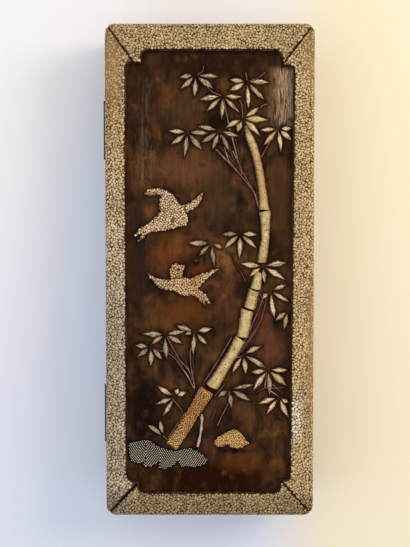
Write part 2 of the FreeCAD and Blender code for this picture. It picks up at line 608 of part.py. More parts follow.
def leaf(outline):
    """A thin chip with bevelled flanks that meet in a midrib."""
    bottom = [V(x, y, PANEL_TOP) for x, y in outline]
    edge = [point + UP * LEAF_EDGE for point in bottom]
    rib = [(edge[1] + edge[5]) * 0.5, (edge[2] + edge[4]) * 0.5]
    rib = [point + UP * (LEAF_RIDGE - LEAF_EDGE) for point in rib]
    loops = [list(reversed(bottom))]
    for index in range(len(bottom)):
        after = (index + 1) % len(bottom)
        loops.append([bottom[index], bottom[after], edge[after], edge[index]])
    loops += [[edge[0], edge[1], rib[0]], [edge[1], edge[2], rib[1]], [edge[1], rib[1], rib[0]],
              [edge[2], edge[3], rib[1]], [edge[3], edge[4], rib[1]], [edge[4], edge[5], rib[0]],
              [edge[4], rib[0], rib[1]], [edge[5], edge[0], rib[0]]]
    return faceted(loops)


def stem_piece(stations, height):
    """A half-round stem lofted through stations of (x, y, width)."""
    sections = []
    for index, (x, y, width) in enumerate(stations):
        before = stations[max(index - 1, 0)]
        after = stations[min(index + 1, len(stations) - 1)]
        run = (after[0] - before[0], after[1] - before[1])
        length = math.hypot(run[0], run[1])
        across = V(-run[1] / length, run[0] / length, 0) * (width / 2)
        rise = UP * (height * min(1.0, width / STEM_FULL_WIDTH))
        section = []
        for step in range(STEM_FACETS + 1):
            angle = math.pi * step / STEM_FACETS
            section.append(V(x, y, PANEL_TOP) + across * math.cos(angle) + rise * math.sin(angle))
        sections.append(Part.makePolygon(section + section[:1]))
    return Part.makeLoft(sections, True, True)


def twig(points):
    """A square-edged ridge of even width along a bent line."""
    half = TWIG_WIDTH / 2
    left = []
    right = []
    for index, (x, y) in enumerate(points):
        before = points[max(index - 1, 0)]
        after = points[min(index + 1, len(points) - 1)]
        run = (after[0] - before[0], after[1] - before[1])
        length = math.hypot(run[0], run[1])
        across = (-run[1] / length * half, run[0] / length * half)
        left.append((x + across[0], y + across[1]))
        right.append((x - across[0], y - across[1]))
    return prism(left + right[::-1], PANEL_TOP, PANEL_TOP + TWIG_HEIGHT)


def cap(x, y, radius, height):
    """A shallow dome of flat facets standing on the panel."""
    rings = []
    angles = [2 * math.pi * side / CAP_SIDES for side in range(CAP_SIDES)]
    for share, rise in CAP_RINGS:
        rings.append([V(x + share * radius * math.cos(angle), y + share * radius * math.sin(angle),
                        PANEL_TOP + rise * height) for angle in angles])
    crown = V(x, y, PANEL_TOP + height)
    loops = [rings[0]]
    for side in range(CAP_SIDES):
        after = (side + 1) % CAP_SIDES
        for low, high in zip(rings, rings[1:]):
            loops.append([low[side], low[after], high[after], high[side]])
        loops.append([rings[-1][side], rings[-1][after], crown])
    return faceted(loops)


def swollen(strokes, edge_height, swells):
    """A flat shape with rounded bodies rising out of it, never wider than its outline."""
    flat = strokes_prism(strokes, PANEL_TOP, PANEL_TOP + edge_height)
    bounds = strokes_prism(strokes, PANEL_TOP, BOX_HEIGHT)
    caps = [cap(*swell) for swell in swells]
    bodies = caps[0].multiFuse(caps[1:]).common(bounds)
    return max(flat.fuse(bodies).Solids, key=lambda solid: solid.Volume)


def make_inlay():
    outlines = [leaf_outline(spray[:2], angle, reach) for spray in SPRAYS for angle, reach in spray[2:]]
    leaves = Part.makeCompound([leaf(outline) for outline in outlines])
    clear_of_leaves = Part.makeCompound([prism(outline, PANEL_TOP - OVERSHOOT, BOX_HEIGHT)
                                         for outline in outlines])
    save("bamboo_leaves", leaves)

    stems = []
    for name, stations in CULM.items():
        piece = stem_piece(stations, CULM_HEIGHT).cut(clear_of_leaves)
        piece = max(piece.Solids, key=lambda solid: solid.Volume)
        stems.append(piece)
        save(name, piece)
    shoot = stem_piece(YOUNG_SHOOT, YOUNG_SHOOT_HEIGHT)
    save("young_shoot", shoot)

    rocks = swollen(ROCK_BANK, ROCK_EDGE, ROCK_SWELLS)
    save("rock_bank", rocks)
    save("mound", swollen(MOUND, MOUND_EDGE, MOUND_SWELLS))
    save("upper_sparrow", swollen(UPPER_SPARROW, SPARROW_EDGE, UPPER_SPARROW_SWELLS))
    save("lower_sparrow", swollen(LOWER_SPARROW, SPARROW_EDGE, LOWER_SPARROW_SWELLS))

    twigs = twig(TWIGS[0]).multiFuse([twig(points) for points in TWIGS[1:]])
    twigs = twigs.cut(clear_of_leaves)
    for piece in stems + [shoot]:
        twigs = twigs.cut(piece)
    save("bamboo_twigs", twigs)

    save("panel_stud", cap(STUD_CENTRE[0], STUD_CENTRE[1], STUD_RADIUS, STUD_HEIGHT))


# ---------------------------------------------------------------- contents
def bed(size, centre):
    """The hole in the fitted board that one of the tools stands in."""
    return rounded_prism(size[0] + 2 * BED_CLEARANCE, size[1] + 2 * BED_CLEARANCE, BED_CORNER,
                         FLOOR - OVERSHOOT, BOARD_TOP + OVERSHOOT, centre)


def make_fitted_board():
    board = rounded_prism(ROOM_WIDTH - 2 * BOARD_CLEARANCE, ROOM_LENGTH - 2 * BOARD_CLEARANCE, BOARD_CORNER,
                          FLOOR, BOARD_TOP)
    for size, centre in ((STONE, STONE_CENTRE), (DROPPER, DROPPER_CENTRE), (INK_STICK, INK_STICK_CENTRE)):
        board = board.cut(bed(size, centre))
    save("fitted_board", board)


def make_inkstone():
    """A long stone: a flat land for grinding that slopes into a deep pond at the head."""
    width, length, height = STONE
    centre_x, centre_y = STONE_CENTRE
    top = FLOOR + height
    stone = bevelled_top(rounded_prism(width, length, STONE_CORNER, FLOOR, top, STONE_CENTRE), top, STONE_BEVEL)
    inside_head = centre_y + length / 2 - STONE_BORDER
    inside_foot = centre_y - length / 2 + STONE_BORDER
    land = top - STONE_LAND_DEPTH
    pond = top - STONE_POND_DEPTH
    profile = [V(0, inside_foot, top + OVERSHOOT), V(0, inside_foot, land),
               V(0, inside_head - STONE_POND_LENGTH, land),
               V(0, inside_head - STONE_POND_LENGTH + STONE_SLOPE_LENGTH, pond),
               V(0, inside_head, pond), V(0, inside_head, top + OVERSHOOT)]
    trench = Part.Face(Part.makePolygon(profile + profile[:1])).extrude(V(width, 0, 0))
    trench.translate(V(centre_x - width / 2, 0, 0))
    well = rounded_prism(width - 2 * STONE_BORDER, length - 2 * STONE_BORDER, STONE_WELL_CORNER, FLOOR,
                         top + OVERSHOOT, STONE_CENTRE)
    save("inkstone", stone.cut(trench.common(well)))


def make_water_dropper():
    """A small hollow water pot with bevelled shoulders, a filling hole and a pouring hole."""
    width, length, height = DROPPER
    top = FLOOR + height
    pot = bevelled_top(rounded_prism(width, length, DROPPER_CORNER, FLOOR, top, DROPPER_CENTRE), top,
                       DROPPER_BEVEL)
    ceiling = top - DROPPER_WALL
    hollow = rounded_prism(width - 2 * DROPPER_WALL, length - 2 * DROPPER_WALL, DROPPER_CORNER - DROPPER_WALL,
                           FLOOR + DROPPER_WALL, ceiling, DROPPER_CENTRE)
    pot = pot.cut(hollow)
    for x, y, radius in DROPPER_HOLES:
        place = V(DROPPER_CENTRE[0] + x, DROPPER_CENTRE[1] + y, ceiling - OVERSHOOT)
        pot = pot.cut(Part.makeCylinder(radius, DROPPER_WALL + 2 * OVERSHOOT, place))
    save("water_dropper", pot)


def make_ink_stick():
    """A round-ended cake of ink with a raised edge round its two broad faces."""
    width, length, height = INK_STICK
    top = FLOOR + height
    cake = rounded_prism(width, length, INK_CORNER, FLOOR, top, INK_STICK_CENTRE)
    for level in (FLOOR, top - INK_FIELD_DEPTH):
        cake = cake.cut(rounded_prism(width - 2 * INK_EDGE, length - 2 * INK_EDGE, INK_FIELD_CORNER, level,
                                      level + INK_FIELD_DEPTH, INK_STICK_CENTRE))
    save("ink_stick", cake)


def make_brush(name):
    """A bamboo handle with a joint groove, a horn ferrule and a pointed tuft, lying along Y."""
    x, radius, foot, handle_length, ferrule_length, tuft_length = BRUSHES[name]
    joint = handle_length * BRUSH_JOINT
    shoulder = handle_length - BRUSH_SOCKET
    spigot = radius * SPIGOT_SHARE
    wide = radius * FERRULE_SHARE
    handle = turned([(0, 0), (radius - BRUSH_BEVEL, 0), (radius, BRUSH_BEVEL), (radius, joint - BRUSH_GROOVE),
                     (radius - BRUSH_GROOVE, joint), (radius, joint + BRUSH_GROOVE), (radius, shoulder),
                     (spigot, shoulder), (spigot, handle_length), (0, handle_length)], x, BRUSH_Z, foot)
    save(name + "_handle", handle)
    ferrule = turned([(spigot, 0), (wide, 0), (wide, ferrule_length - FERRULE_SHOULDER),
                      (radius, ferrule_length), (0, ferrule_length), (0, BRUSH_SOCKET),
                      (spigot, BRUSH_SOCKET)], x, BRUSH_Z, foot + shoulder)
    save(name + "_ferrule", ferrule)
    outline = [(radius * across, tuft_length * along) for across, along in TUFT_PROFILE]
    tuft = turned([(0, 0)] + outline + [(0, tuft_length)], x, BRUSH_Z, foot + shoulder + ferrule_length)
    save(name + "_tuft", tuft)


def make_brush_rests():
    """Two bars with a round notch for each handle, standing on the fitted board."""
    top = BRUSH_Z + BRUSH_REST_RISE
    rests = []
    for rest_y in BRUSH_REST_Y:
        y_range = (rest_y - BRUSH_REST_THICKNESS / 2, rest_y + BRUSH_REST_THICKNESS / 2)
        bar = block(BRUSH_REST_SPAN, y_range, (BOARD_TOP, top))
        for x, radius in (brush[:2] for brush in BRUSHES.values()):
            reach = radius + NOTCH_CLEARANCE
            notch = Part.makeCylinder(reach, BRUSH_REST_THICKNESS, V(x, y_range[0], BRUSH_Z), V(0, 1, 0))
            mouth = block((x - reach, x + reach), y_range, (BRUSH_Z, top))
            bar = bar.cut(notch.fuse(mouth))
        rests.append(bar)
    save("brush_rests", Part.makeCompound(rests))


def make_hinges(base_screws, lid_screws):
    pins = []
    for place, centre_y in zip(("head", "foot"), HINGE_CENTRES_Y):
        save("hinge_" + place + "_base_leaf", hinge_leaf(centre_y, False, base_screws))
        save("hinge_" + place + "_lid_leaf", hinge_leaf(centre_y, True, lid_screws))
        pins.append(hinge_cylinder(PIN_RADIUS, *hinge_reach(centre_y)))
    save("hinge_pins", Part.makeCompound(pins))


def main():
    base_screws = screw_set(False)
    lid_screws = screw_set(True)
    save("hinge_base_screws", slotted(base_screws, False))
    save("hinge_lid_screws", slotted(lid_screws, True))
    base_drill = Part.makeCompound(base_screws)
    lid_drill = Part.makeCompound(lid_screws)
    make_hinges(base_drill, lid_drill)
    make_base(base_drill)
    make_lid(lid_drill)
    make_inlay()
    make_fitted_board()
    make_inkstone()
    make_water_dropper()
    make_ink_stick()
    for name in BRUSHES:
        make_brush(name)
    make_brush_rests()


main()
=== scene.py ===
"""Looks of a Japanese writing box covered in ray skin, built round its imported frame.

The lid's raised border carries granular skin with mitred seams. Inside it lies a sunken lacquer panel with
bone bamboo, shell leaves, two sparrows, rocks and a mound in relief. The base holds the writing tools.
"""
import math
import random

import bmesh
import bpy
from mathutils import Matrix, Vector, noise
from mathutils.bvhtree import BVHTree
from mathutils.kdtree import KDTree


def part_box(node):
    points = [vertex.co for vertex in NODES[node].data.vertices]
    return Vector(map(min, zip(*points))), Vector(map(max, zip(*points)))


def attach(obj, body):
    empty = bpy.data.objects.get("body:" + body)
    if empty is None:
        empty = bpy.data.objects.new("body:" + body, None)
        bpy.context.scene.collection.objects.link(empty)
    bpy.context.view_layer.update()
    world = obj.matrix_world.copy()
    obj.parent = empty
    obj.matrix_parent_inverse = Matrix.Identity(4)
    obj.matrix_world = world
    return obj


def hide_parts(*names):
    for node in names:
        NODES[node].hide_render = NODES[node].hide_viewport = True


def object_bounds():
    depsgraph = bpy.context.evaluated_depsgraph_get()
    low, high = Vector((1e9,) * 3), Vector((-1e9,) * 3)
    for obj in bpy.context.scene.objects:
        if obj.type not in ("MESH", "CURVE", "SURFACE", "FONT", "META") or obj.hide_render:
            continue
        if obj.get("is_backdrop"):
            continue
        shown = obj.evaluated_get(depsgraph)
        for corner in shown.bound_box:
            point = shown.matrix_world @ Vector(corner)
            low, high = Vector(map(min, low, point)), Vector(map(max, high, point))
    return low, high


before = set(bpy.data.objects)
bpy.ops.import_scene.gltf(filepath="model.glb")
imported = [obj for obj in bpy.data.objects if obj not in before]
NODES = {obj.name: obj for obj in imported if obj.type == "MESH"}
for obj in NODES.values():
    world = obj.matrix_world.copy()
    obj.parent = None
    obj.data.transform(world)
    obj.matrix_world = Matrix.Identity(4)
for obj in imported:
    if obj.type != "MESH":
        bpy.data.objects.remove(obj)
CAD_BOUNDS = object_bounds()
MM = 0.001

# ---- places read from the frame
PANEL_LOW, PANEL_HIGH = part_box("lid_panel")
PANEL_TOP = PANEL_HIGH.z
BOX_HIGH = CAD_BOUNDS[1]
SIDES = ("hinge_side", "open_side", "head", "foot")

# ---- camera, floor and light
IMAGE_WIDTH = 410
SENSOR_WIDTH = 36.0
FOCAL_PIXELS = 858.9
CAMERA_PLACE = Vector((-2.30, 14.40, 458.0)) * MM
CAMERA_TILT = math.radians(-2.08)
CAMERA_NEAREST = 0.01

FLOOR_SIZE = 3.0
# The floor's colours paint its light: darker and cooler towards the foot as a painted falloff, painted warm
# lamplight beyond the open side, and painted cool shade along the hinge side.
FLOOR_NEAR = (225, 228, 237)  # floor colour towards the foot of the box
FLOOR_FAR = (250, 246, 242)  # and towards its head
FLOOR_PAINTED_LAMPLIGHT = (247, 232, 191)  # and beyond its open side
FLOOR_PAINTED_SHADE = (230, 240, 252)  # and close along its hinge side
PAINTED_LAMPLIGHT_REACH = (240, 520)  # how far the warmth reaches, in millimetres
WORLD_COLOUR = (238, 241, 250)
WORLD_STRENGTH = 0.90
# Lamps: name, colour, power in watts, place, size across
LAMPS = (
    ("window", (255, 240, 214), 2.15, Vector((0.52, 0.24, 0.50)), 0.34),
    ("far_wall", (214, 226, 255), 0.9, Vector((-0.70, -0.20, 0.60)), 0.60),
)


def srgb(colour):
    """A 0-255 screen colour as the linear RGBA that shaders take."""
    linear = [(c / 255 / 12.92) if c <= 10.3 else ((c / 255 + 0.055) / 1.055) ** 2.4 for c in colour]
    return (*linear, 1.0)


# ---- node trees
PATCH_CORE = 0.25  # the share of a patch's reach where it has its full strength


class Graph:
    """Adds nodes to a tree. An input is a constant or another node's output."""

    def __init__(self, tree):
        self.tree = tree

    def node(self, kind, inputs=None, **settings):
        made = self.tree.nodes.new(kind)
        for key, value in settings.items():
            setattr(made, key, value)
        for key, value in (inputs or {}).items():
            self.put(value, made.inputs[key])
        return made

    def put(self, value, socket):
        if isinstance(value, bpy.types.NodeSocket):
            self.tree.links.new(value, socket)
        else:
            socket.default_value = value

    def step(self, kind, inputs=None, output=0, **settings):
        """One output of a new node."""
        return self.node(kind, inputs, **settings).outputs[output]

    def maths(self, operation, *values):
        return self.step("ShaderNodeMath", dict(enumerate(values)), operation=operation)

    def times(self, first, *others):
        """Values multiplied together."""
        for other in others:
            first = self.maths("MULTIPLY", first, other)
        return first

    def vector(self, operation, *values):
        output = "Value" if operation == "LENGTH" else 0
        return self.step("ShaderNodeVectorMath", dict(enumerate(values)), output, operation=operation)

    def xyz(self, **parts):
        return self.step("ShaderNodeCombineXYZ", parts)

    def spread(self, value, low, high, to_low=0.0, to_high=1.0):
        """A number mapped smoothly from one range to another."""
        ranges = {"Value": value, "From Min": low, "From Max": high, "To Min": to_low, "To Max": to_high}
        return self.step("ShaderNodeMapRange", ranges, interpolation_type="SMOOTHSTEP")


class Finish(Graph):
    """A procedural material in Object coordinates. Pattern sizes are in millimetres."""

    def __init__(self, name, roughness, **constants):
        self.material = bpy.data.materials.new(name)
        self.material.use_nodes = True
        super().__init__(self.material.node_tree)
        self.shader = self.tree.nodes["Principled BSDF"]
        self.place = self.step("ShaderNodeTexCoord", output="Object")
        for key, value in {"Roughness": roughness, **constants}.items():
            self.shader.inputs[key.replace("_", " ")].default_value = value

    def stretched(self, stretch):
        """Object coordinates in millimetres, divided by a stretch along each axis."""
        scale = [1 / MM / axis for axis in stretch]
        return self.step("ShaderNodeMapping", {"Vector": self.place, "Scale": scale})

    def noise(self, size, detail=3.0, stretch=(1, 1, 1), roughness=0.55, distortion=0.0):
        settings = {"Vector": self.stretched(stretch), "Scale": 1 / size, "Detail": detail,
                    "Roughness": roughness, "Distortion": distortion}
        return self.step("ShaderNodeTexNoise", settings, "Fac")

    def cells(self, size, stretch):
        """How far a place is from the middle of its cell."""
        settings = {"Vector": self.stretched(stretch), "Scale": 1 / size}
        return self.step("ShaderNodeTexVoronoi", settings, "Distance")

    def ramp(self, factor, *stops):
        """A colour ramp. Each stop is a place from 0 to 1 and a screen colour."""
        made = self.node("ShaderNodeValToRGB", {"Fac": factor})
        elements = made.color_ramp.elements
        for index, (place, colour) in enumerate(stops):
            element = elements[index] if index < 2 else elements.new(place)
            element.position = place
            element.color = srgb(colour)
        return made.outputs["Color"]

    def blend(self, factor, first, second, how="MIX"):
        first, second = (value if isinstance(value, bpy.types.NodeSocket) else srgb(value)
                         for value in (first, second))
        sides = {"Factor": factor, 6: first, 7: second}
        return self.step("ShaderNodeMix", sides, 2, data_type="RGBA", blend_type=how)

    def patch(self, colour, centre, radii, tint, strength):
        """The colour with a soft patch of a tint laid over it."""
        return self.blend(self.times(self.near(centre, radii), strength), colour, tint)

    def toned(self, colour, shade, saturation=1.0):
        """The colour made brighter or darker, and stronger or greyer."""
        settings = {"Color": colour, "Saturation": saturation, "Value": shade}
        return self.step("ShaderNodeHueSaturation", settings)

    def attribute(self, name, output="Fac"):
        return self.step("ShaderNodeAttribute", output=output, attribute_name=name)

    def along(self, axis):
        """One Object coordinate in millimetres."""
        return self.maths("DIVIDE", self.step("ShaderNodeSeparateXYZ", {0: self.place}, axis), MM)

    def near(self, centre, radii):
        """1 at a centre in plan, falling smoothly to 0 at its radii, all in millimetres."""
        shares = [self.maths("DIVIDE", self.maths("SUBTRACT", self.along(axis), middle), radius)
                  for axis, middle, radius in zip("XY", centre, radii)]
        square = self.maths("ADD", *(self.times(share, share) for share in shares))
        return self.spread(self.maths("SQRT", square), PATCH_CORE, 1.0, 1.0, 0.0)

    def within(self, x_range, y_range, soft, ragged):
        """1 inside a rectangle in plan, falling to 0 over a soft and ragged edge, all in millimetres."""
        share = 1.0
        for axis, (low, high) in (("X", x_range), ("Y", y_range)):
            unevenness = self.times(self.spread(self.noise(3.0), 0.3, 0.7, -1.0, 1.0), ragged)
            place = self.maths("ADD", self.along(axis), unevenness)
            share = self.times(share, self.spread(place, low - soft, low + soft),
                               self.spread(place, high - soft, high + soft, 1.0, 0.0))
        return share

    def finish(self, colour, roughness=None, bump=None, depth=0.05):
        """Wire colour, roughness and a bump of the given depth in millimetres."""
        self.put(colour, self.shader.inputs["Base Color"])
        if roughness is not None:
            self.put(roughness, self.shader.inputs["Roughness"])
        if bump is not None:
            relief = {"Strength": 1.0, "Distance": depth * MM, "Height": bump}
            self.put(self.step("ShaderNodeBump", relief), self.shader.inputs["Normal"])
        return self.material


# ---- finishes
# Colours of the granules: between them, where painted shade darkens the creases; on their flanks; and on
# their crowns, pale from wear and with a painted highlight.
RAY_SKIN_COLOURS = ((76, 54, 28), (166, 136, 88), (212, 184, 134))
SPARROW_COLOURS = ((72, 46, 28), (176, 142, 100), (230, 202, 158))
GOLDEN_COLOURS = ((95, 61, 30), (179, 135, 74), (224, 183, 117))
ROCK_COLOURS = ((10, 8, 5), (72, 60, 44), (246, 230, 200))

# A patch is a centre in plan and its reach along x and y, in millimetres.
# Where handling has worn the skin smooth:
WORN_PATCHES = (((-50, 100), (13, 30)), ((50, 102), (7, 22)),
                ((-50, -118), (7, 8)), ((50, -40), (4.5, 60)))
# Crumbled granules beside the seam, paler and pinker:
CRUMBLED = ((-38.4, 104), (5, 6))
# A painted highlight where the polished crowns catch the light:
PAINTED_HIGHLIGHT_PATCH = ((42.4, -72), (4.2, 17))
# The stretch along the hinge side darkened with painted shade, and the stretch greyed there, partly faded and
# partly painted cool shade:
PAINTED_SHADE_PATCH = ((-46, -60), (18, 80))
FADED_AND_COOL_PATCH = ((-47, -60), (14, 150))
# A short crack running out from the opening, along X and along Y.
CRACK = ((-43.8, -40.2), (99.7, 100.1))

# Tints over the sparrows, each a patch and the colour it is dyed with. The third is an eye.
SPARROW_TINTS = (
    ((-15, -6), (22, 18), (246, 238, 234)),
    ((-17, -0.6), (4.2, 4), (255, 243, 206)),
    ((-15.2, 1.1), (1.5, 1), (46, 30, 20)),
    ((-7.6, -5.6), (6, 5), (250, 226, 208)),
    ((-4.8, 37), (5, 4.5), (250, 224, 190)),
    ((-29, 37.4), (6, 2.6), (236, 212, 190)),
    ((-6, -13.6), (5, 6), (252, 228, 208)),
)
# The foot of the culm is browner than the mound.
GOLDEN_TINTS = (((-7, -69), (14, 18), (232, 210, 208)),)


def worn_patches(f, strength):
    """Where the skin is worn smooth, as a share from 0 to the given strength."""
    worn = 0.0
    for patch in WORN_PATCHES:
        worn = f.maths("MAXIMUM", worn, f.near(*patch))
    return f.times(worn, strength)


def grime_and_painted_shade(f):
    """How bright the old skin is: dullest at the foot, a little dull at the head and the hinge side, partly
    grime and partly painted shade.
    """
    foot = f.spread(f.along("Y"), -113.0, -104.0, 0.6, 1.0)
    head = f.spread(f.along("Y"), 101.0, 108.0, 1.0, 0.95)
    # Darker along the hinge side: painted shade.
    side = f.spread(f.near(*PAINTED_SHADE_PATCH), 0.0, 1.0, 1.0, 0.84)
    crack = f.spread(f.within(*CRACK, 0.25, 0.4), 0.0, 0.8, 1.0, 0.25)
    return f.times(foot, head, side, crack)


def faded_and_painted_cool(f):
    """How strong the skin's colour still is: greyer along the hinge side, most of all low down, partly faded
    and partly painted cool shade.
    """
    return f.spread(f.near(*FADED_AND_COOL_PATCH), 0.0, 1.0, 1.0, 0.76)


def granule_finish(name, colours, aged=False, tints=()):
    """Polished nodules: dark at the foot with painted crease shade, pale on the worn crown with a painted
    highlight, each with a tone of its own.
    """
    f = Finish(name, 0.34, Specular_IOR_Level=0.12)
    dark, middle, pale = colours
    rise = f.attribute("rise")
    # Dark feet are painted shade in the creases; pale crowns are partly wear and partly a painted highlight.
    colour = f.ramp(rise, (0.1, dark), (0.6, middle), (1.0, pale))
    tone = f.spread(f.attribute("tone"), 0.0, 1.0, 0.82, 1.1)
    shade = f.times(tone, f.spread(f.noise(14.0), 0.3, 0.7, 0.88, 1.06))
    if aged:
        colour = f.blend(worn_patches(f, 0.6), colour, (178, 142, 92))
        colour = f.patch(colour, *CRUMBLED, (200, 164, 138), 0.45)
        # A painted highlight on the crowns along the right border.
        colour = f.patch(colour, *PAINTED_HIGHLIGHT_PATCH, (248, 238, 216), f.spread(rise, 0.5, 1.0, 0.0, 0.75))
        # Darker at the foot, the head and the hinge side: partly grime, partly painted shade.
        shade = f.times(shade, grime_and_painted_shade(f))
    for centre, radii, tint in tints:
        colour = f.blend(f.near(centre, radii), colour, tint, "MULTIPLY")
    # Greyer along the hinge side: partly faded, partly painted cool shade.
    colour = f.toned(colour, shade, faded_and_painted_cool(f) if aged else 1.0)
    return f.finish(colour, f.spread(f.noise(0.6), 0.35, 0.65, 0.26, 0.48), f.noise(0.35), 0.02)


def skin_ground_finish():
    """The skin between the granules: brown, with smooth orange-tan stretches at the worn corners."""
    f = Finish("ray_skin_ground", 0.6, Specular_IOR_Level=0.08)
    fleck = f.noise(0.7, 4.0)
    brown = f.ramp(fleck, (0.3, (66, 44, 20)), (0.7, (112, 82, 46)))
    brown = f.blend(worn_patches(f, 0.85), brown, (164, 128, 80))
    # Darker and greyer like the granules: partly grime and fading, partly painted shade.
    brown = f.toned(brown, grime_and_painted_shade(f), faded_and_painted_cool(f))
    return f.finish(brown, f.spread(fleck, 0.3, 0.7, 0.42, 0.62), fleck, 0.05)


# Clouds, wear and repairs in the old lacquer, and a painted shadow under the mound: a patch each, its colour
# and its strength.
LACQUER_PATCHES = (
    ((0, 103), (48, 14), (42, 25, 15), 0.95),
    ((-31, 86), (14, 24), (50, 31, 18), 0.85),
    ((-14, 78), (14, 14), (74, 54, 33), 0.6),
    ((-10, 51), (20, 16), (106, 68, 46), 0.8),
    ((3, 36), (13, 18), (70, 50, 32), 0.75),
    ((20, 82), (10, 9), (98, 64, 42), 0.4),
    ((35, 34), (9, 40), (72, 48, 29), 0.85),
    ((-17, 12), (14, 12), (114, 66, 38), 0.6),
    ((-12, -20), (22, 14), (94, 55, 28), 0.75),
    ((-36, 5), (9, 46), (52, 32, 23), 0.85),
    ((28, -46), (14, 22), (70, 46, 30), 0.6),
    ((-32, -68), (13, 30), (20, 11, 8), 0.95),
    ((0, -102), (48, 15), (38, 15, 5), 1),
    ((16, -94), (18, 7), (90, 50, 24), 0.65),
    ((-34, 18), (4, 30), (42, 32, 27), 0.75),
    ((-24, 5), (8, 9), (112, 60, 32), 0.5),
    ((26.5, -20), (6, 12), (110, 54, 38), 0.65),
    ((29, -36), (9, 12), (112, 70, 50), 0.5),
    ((7, 7.5), (10, 11), (142, 96, 58), 0.8),
    ((-4.5, 0), (7, 6), (120, 56, 34), 0.55),
    ((-6.4, 4.4), (2.6, 2.6), (18, 11, 7), 1),
    ((4, 73), (10, 6), (20, 11, 7), 0.9),
    ((-6, 92), (9, 4), (26, 15, 10), 0.8),
    ((17, 93), (9, 4), (30, 17, 10), 0.8),
    ((30, 10), (9, 14), (30, 18, 10), 0.7),
    # A painted shadow along the foot of the mound.
    ((12, -88.5), (12, 1.8), (16, 7, 4), 0.9),
    ((-27, -97), (7, 2), (74, 18, 16), 0.6),
    ((21.6, -86), (3.4, 1.5), (124, 58, 42), 0.4),
    ((-40.2, 30), (2, 100), (74, 40, 30), 0.5),
    ((38.8, -50), (2, 60), (84, 44, 28), 0.6),
)
# Painted glare of the window on the lacquer, strongest in its scratches: reach along X, reach along Y,
# softness, colour, strength, and how much of that shows between the long scratches and in them.
GLARE_ON_SCRATCHED_LACQUER = (
    ((28.5, 33.5), (72, 99), 1.6, (132, 106, 70), 0.8, 1, 0),
    ((32.5, 44), (71.5, 99), 1.6, (188, 160, 122), 0.95, 1, 0.05),
    ((-35, -28.5), (44, 93), 3, (112, 92, 76), 0.5, 0, 0.8),
)
# Single long scratches in the lacquer, pale with a painted glint of the window: reach along X and along Y,
# and how strongly they show.
GLINTING_SCRATCHES = (((-33.2, -32.4), (42, 78), 0.6), ((-31, -30.3), (58, 94), 0.42),
             ((-28.7, -28.3), (40, 62), 0.45), ((20.3, 20.6), (-40, 12), 0.25))
# Colours of the clouds in the lacquer, from the darkest.
CLOUDS = ((0.3, (32, 21, 13)), (0.44, (54, 36, 23)), (0.57, (82, 54, 33)), (0.72, (116, 74, 44)))


def lacquer_finish():
    """Old brown lacquer: clouds from black to orange-brown, long scratches with painted glare in them, and
    black round the inlay that is partly painted shade.
    """
    f = Finish("panel_lacquer", 0.36, Specular_IOR_Level=0.02)
    colour = f.ramp(f.noise(7.0, 6.0, (1, 1.5, 1), 0.6, 0.5), *CLOUDS)
    uneven = f.spread(f.noise(4.0, 5.0, (1, 1.4, 1), 0.6), 0.28, 0.5, 0.15, 1.0)
    for centre, radii, tint, strength in LACQUER_PATCHES:
        colour = f.patch(colour, centre, radii, tint, f.times(uneven, strength))
    streak = f.noise(1.2, 4.0, (1, 14, 1), 0.6)
    colour = f.toned(colour, f.spread(streak, 0.3, 0.7, 0.84, 1.14), 1.05)
    long_scratch = f.spread(f.noise(0.5, 2.0, (1, 16, 1), 0.6), 0.46, 0.62)
    broken = f.spread(f.noise(1.6, 3.0, (1, 3.5, 1)), 0.36, 0.56)
    scratch = f.times(long_scratch, broken)
    fine_scratch = f.spread(f.noise(0.32, 3.0, (1, 22, 1), 0.7), 0.36, 0.6)
    unscratched = f.spread(fine_scratch, 0.0, 1.0, 1.0, 0.3)
    # Painted reflections of the window: the glare at the upper right and the pale streaks at the left.
    for x_range, y_range, soft, tint, strength, between, inside in GLARE_ON_SCRATCHED_LACQUER:
        share = f.times(f.within(x_range, y_range, soft, 1.0), strength,
                        f.spread(scratch, 0.0, 1.0, between, inside), unscratched)
        colour = f.blend(share, colour, tint)
    for x_range, y_range, strength in GLINTING_SCRATCHES:
        share = f.times(f.within(x_range, y_range, 0.5, 0.12), strength, unscratched, broken)
        # A painted glint along each scratch.
        colour = f.blend(share, colour, (128, 108, 88))
    # Black round the inlay: partly built-up lacquer, partly painted shade.
    halo_and_shade = f.times(f.attribute("inlay_halo_and_shade"), f.spread(f.noise(2.6), 0.3, 0.65, 0.5, 1.0))
    colour = f.blend(halo_and_shade, colour, (16, 9, 6))
    return f.finish(colour, f.spread(streak, 0.3, 0.7, 0.3, 0.52), streak, 0.04)


def rail_finish():
    """Wood under the skin: black in the open corner seams, brown along the straight lengths."""
    f = Finish("rail_wood", 0.6, Specular_IOR_Level=0.1)
    ends = f.maths("ABSOLUTE", f.along("Y"))
    return f.finish(f.blend(f.spread(ends, 93.0, 99.0), (92, 60, 40), (15, 10, 7)))


def lip_finish():
    """A worn brown edge, pinkish where the lacquer has gone from it."""
    f = Finish("lip_lacquer", 0.6, Specular_IOR_Level=0.05)
    wear = f.noise(3.0, 4.0, (1, 4, 1))
    colour = f.ramp(wear, (0.34, (26, 14, 9)), (0.54, (56, 31, 20)), (0.74, (104, 66, 44)))
    return f.finish(colour, None, f.noise(0.6), 0.04)


# A closely pitted patch of the culm, and browned patches with their tints.
PITTED_BONE = ((20.6, -14.4), (5, 8))
BROWNED_BONE = (((24.6, 46), (8, 26), (190, 136, 84)), ((26.5, 3), (8, 9), (160, 112, 64)))
# Faint rings round the longest bone: a point on each in plan, and half their length and width.
RING_MARKS = ((23.7, 54.1), (24.9, 49.4), (26.4, 41.6))
RING_HALF = (3.6, 0.2)


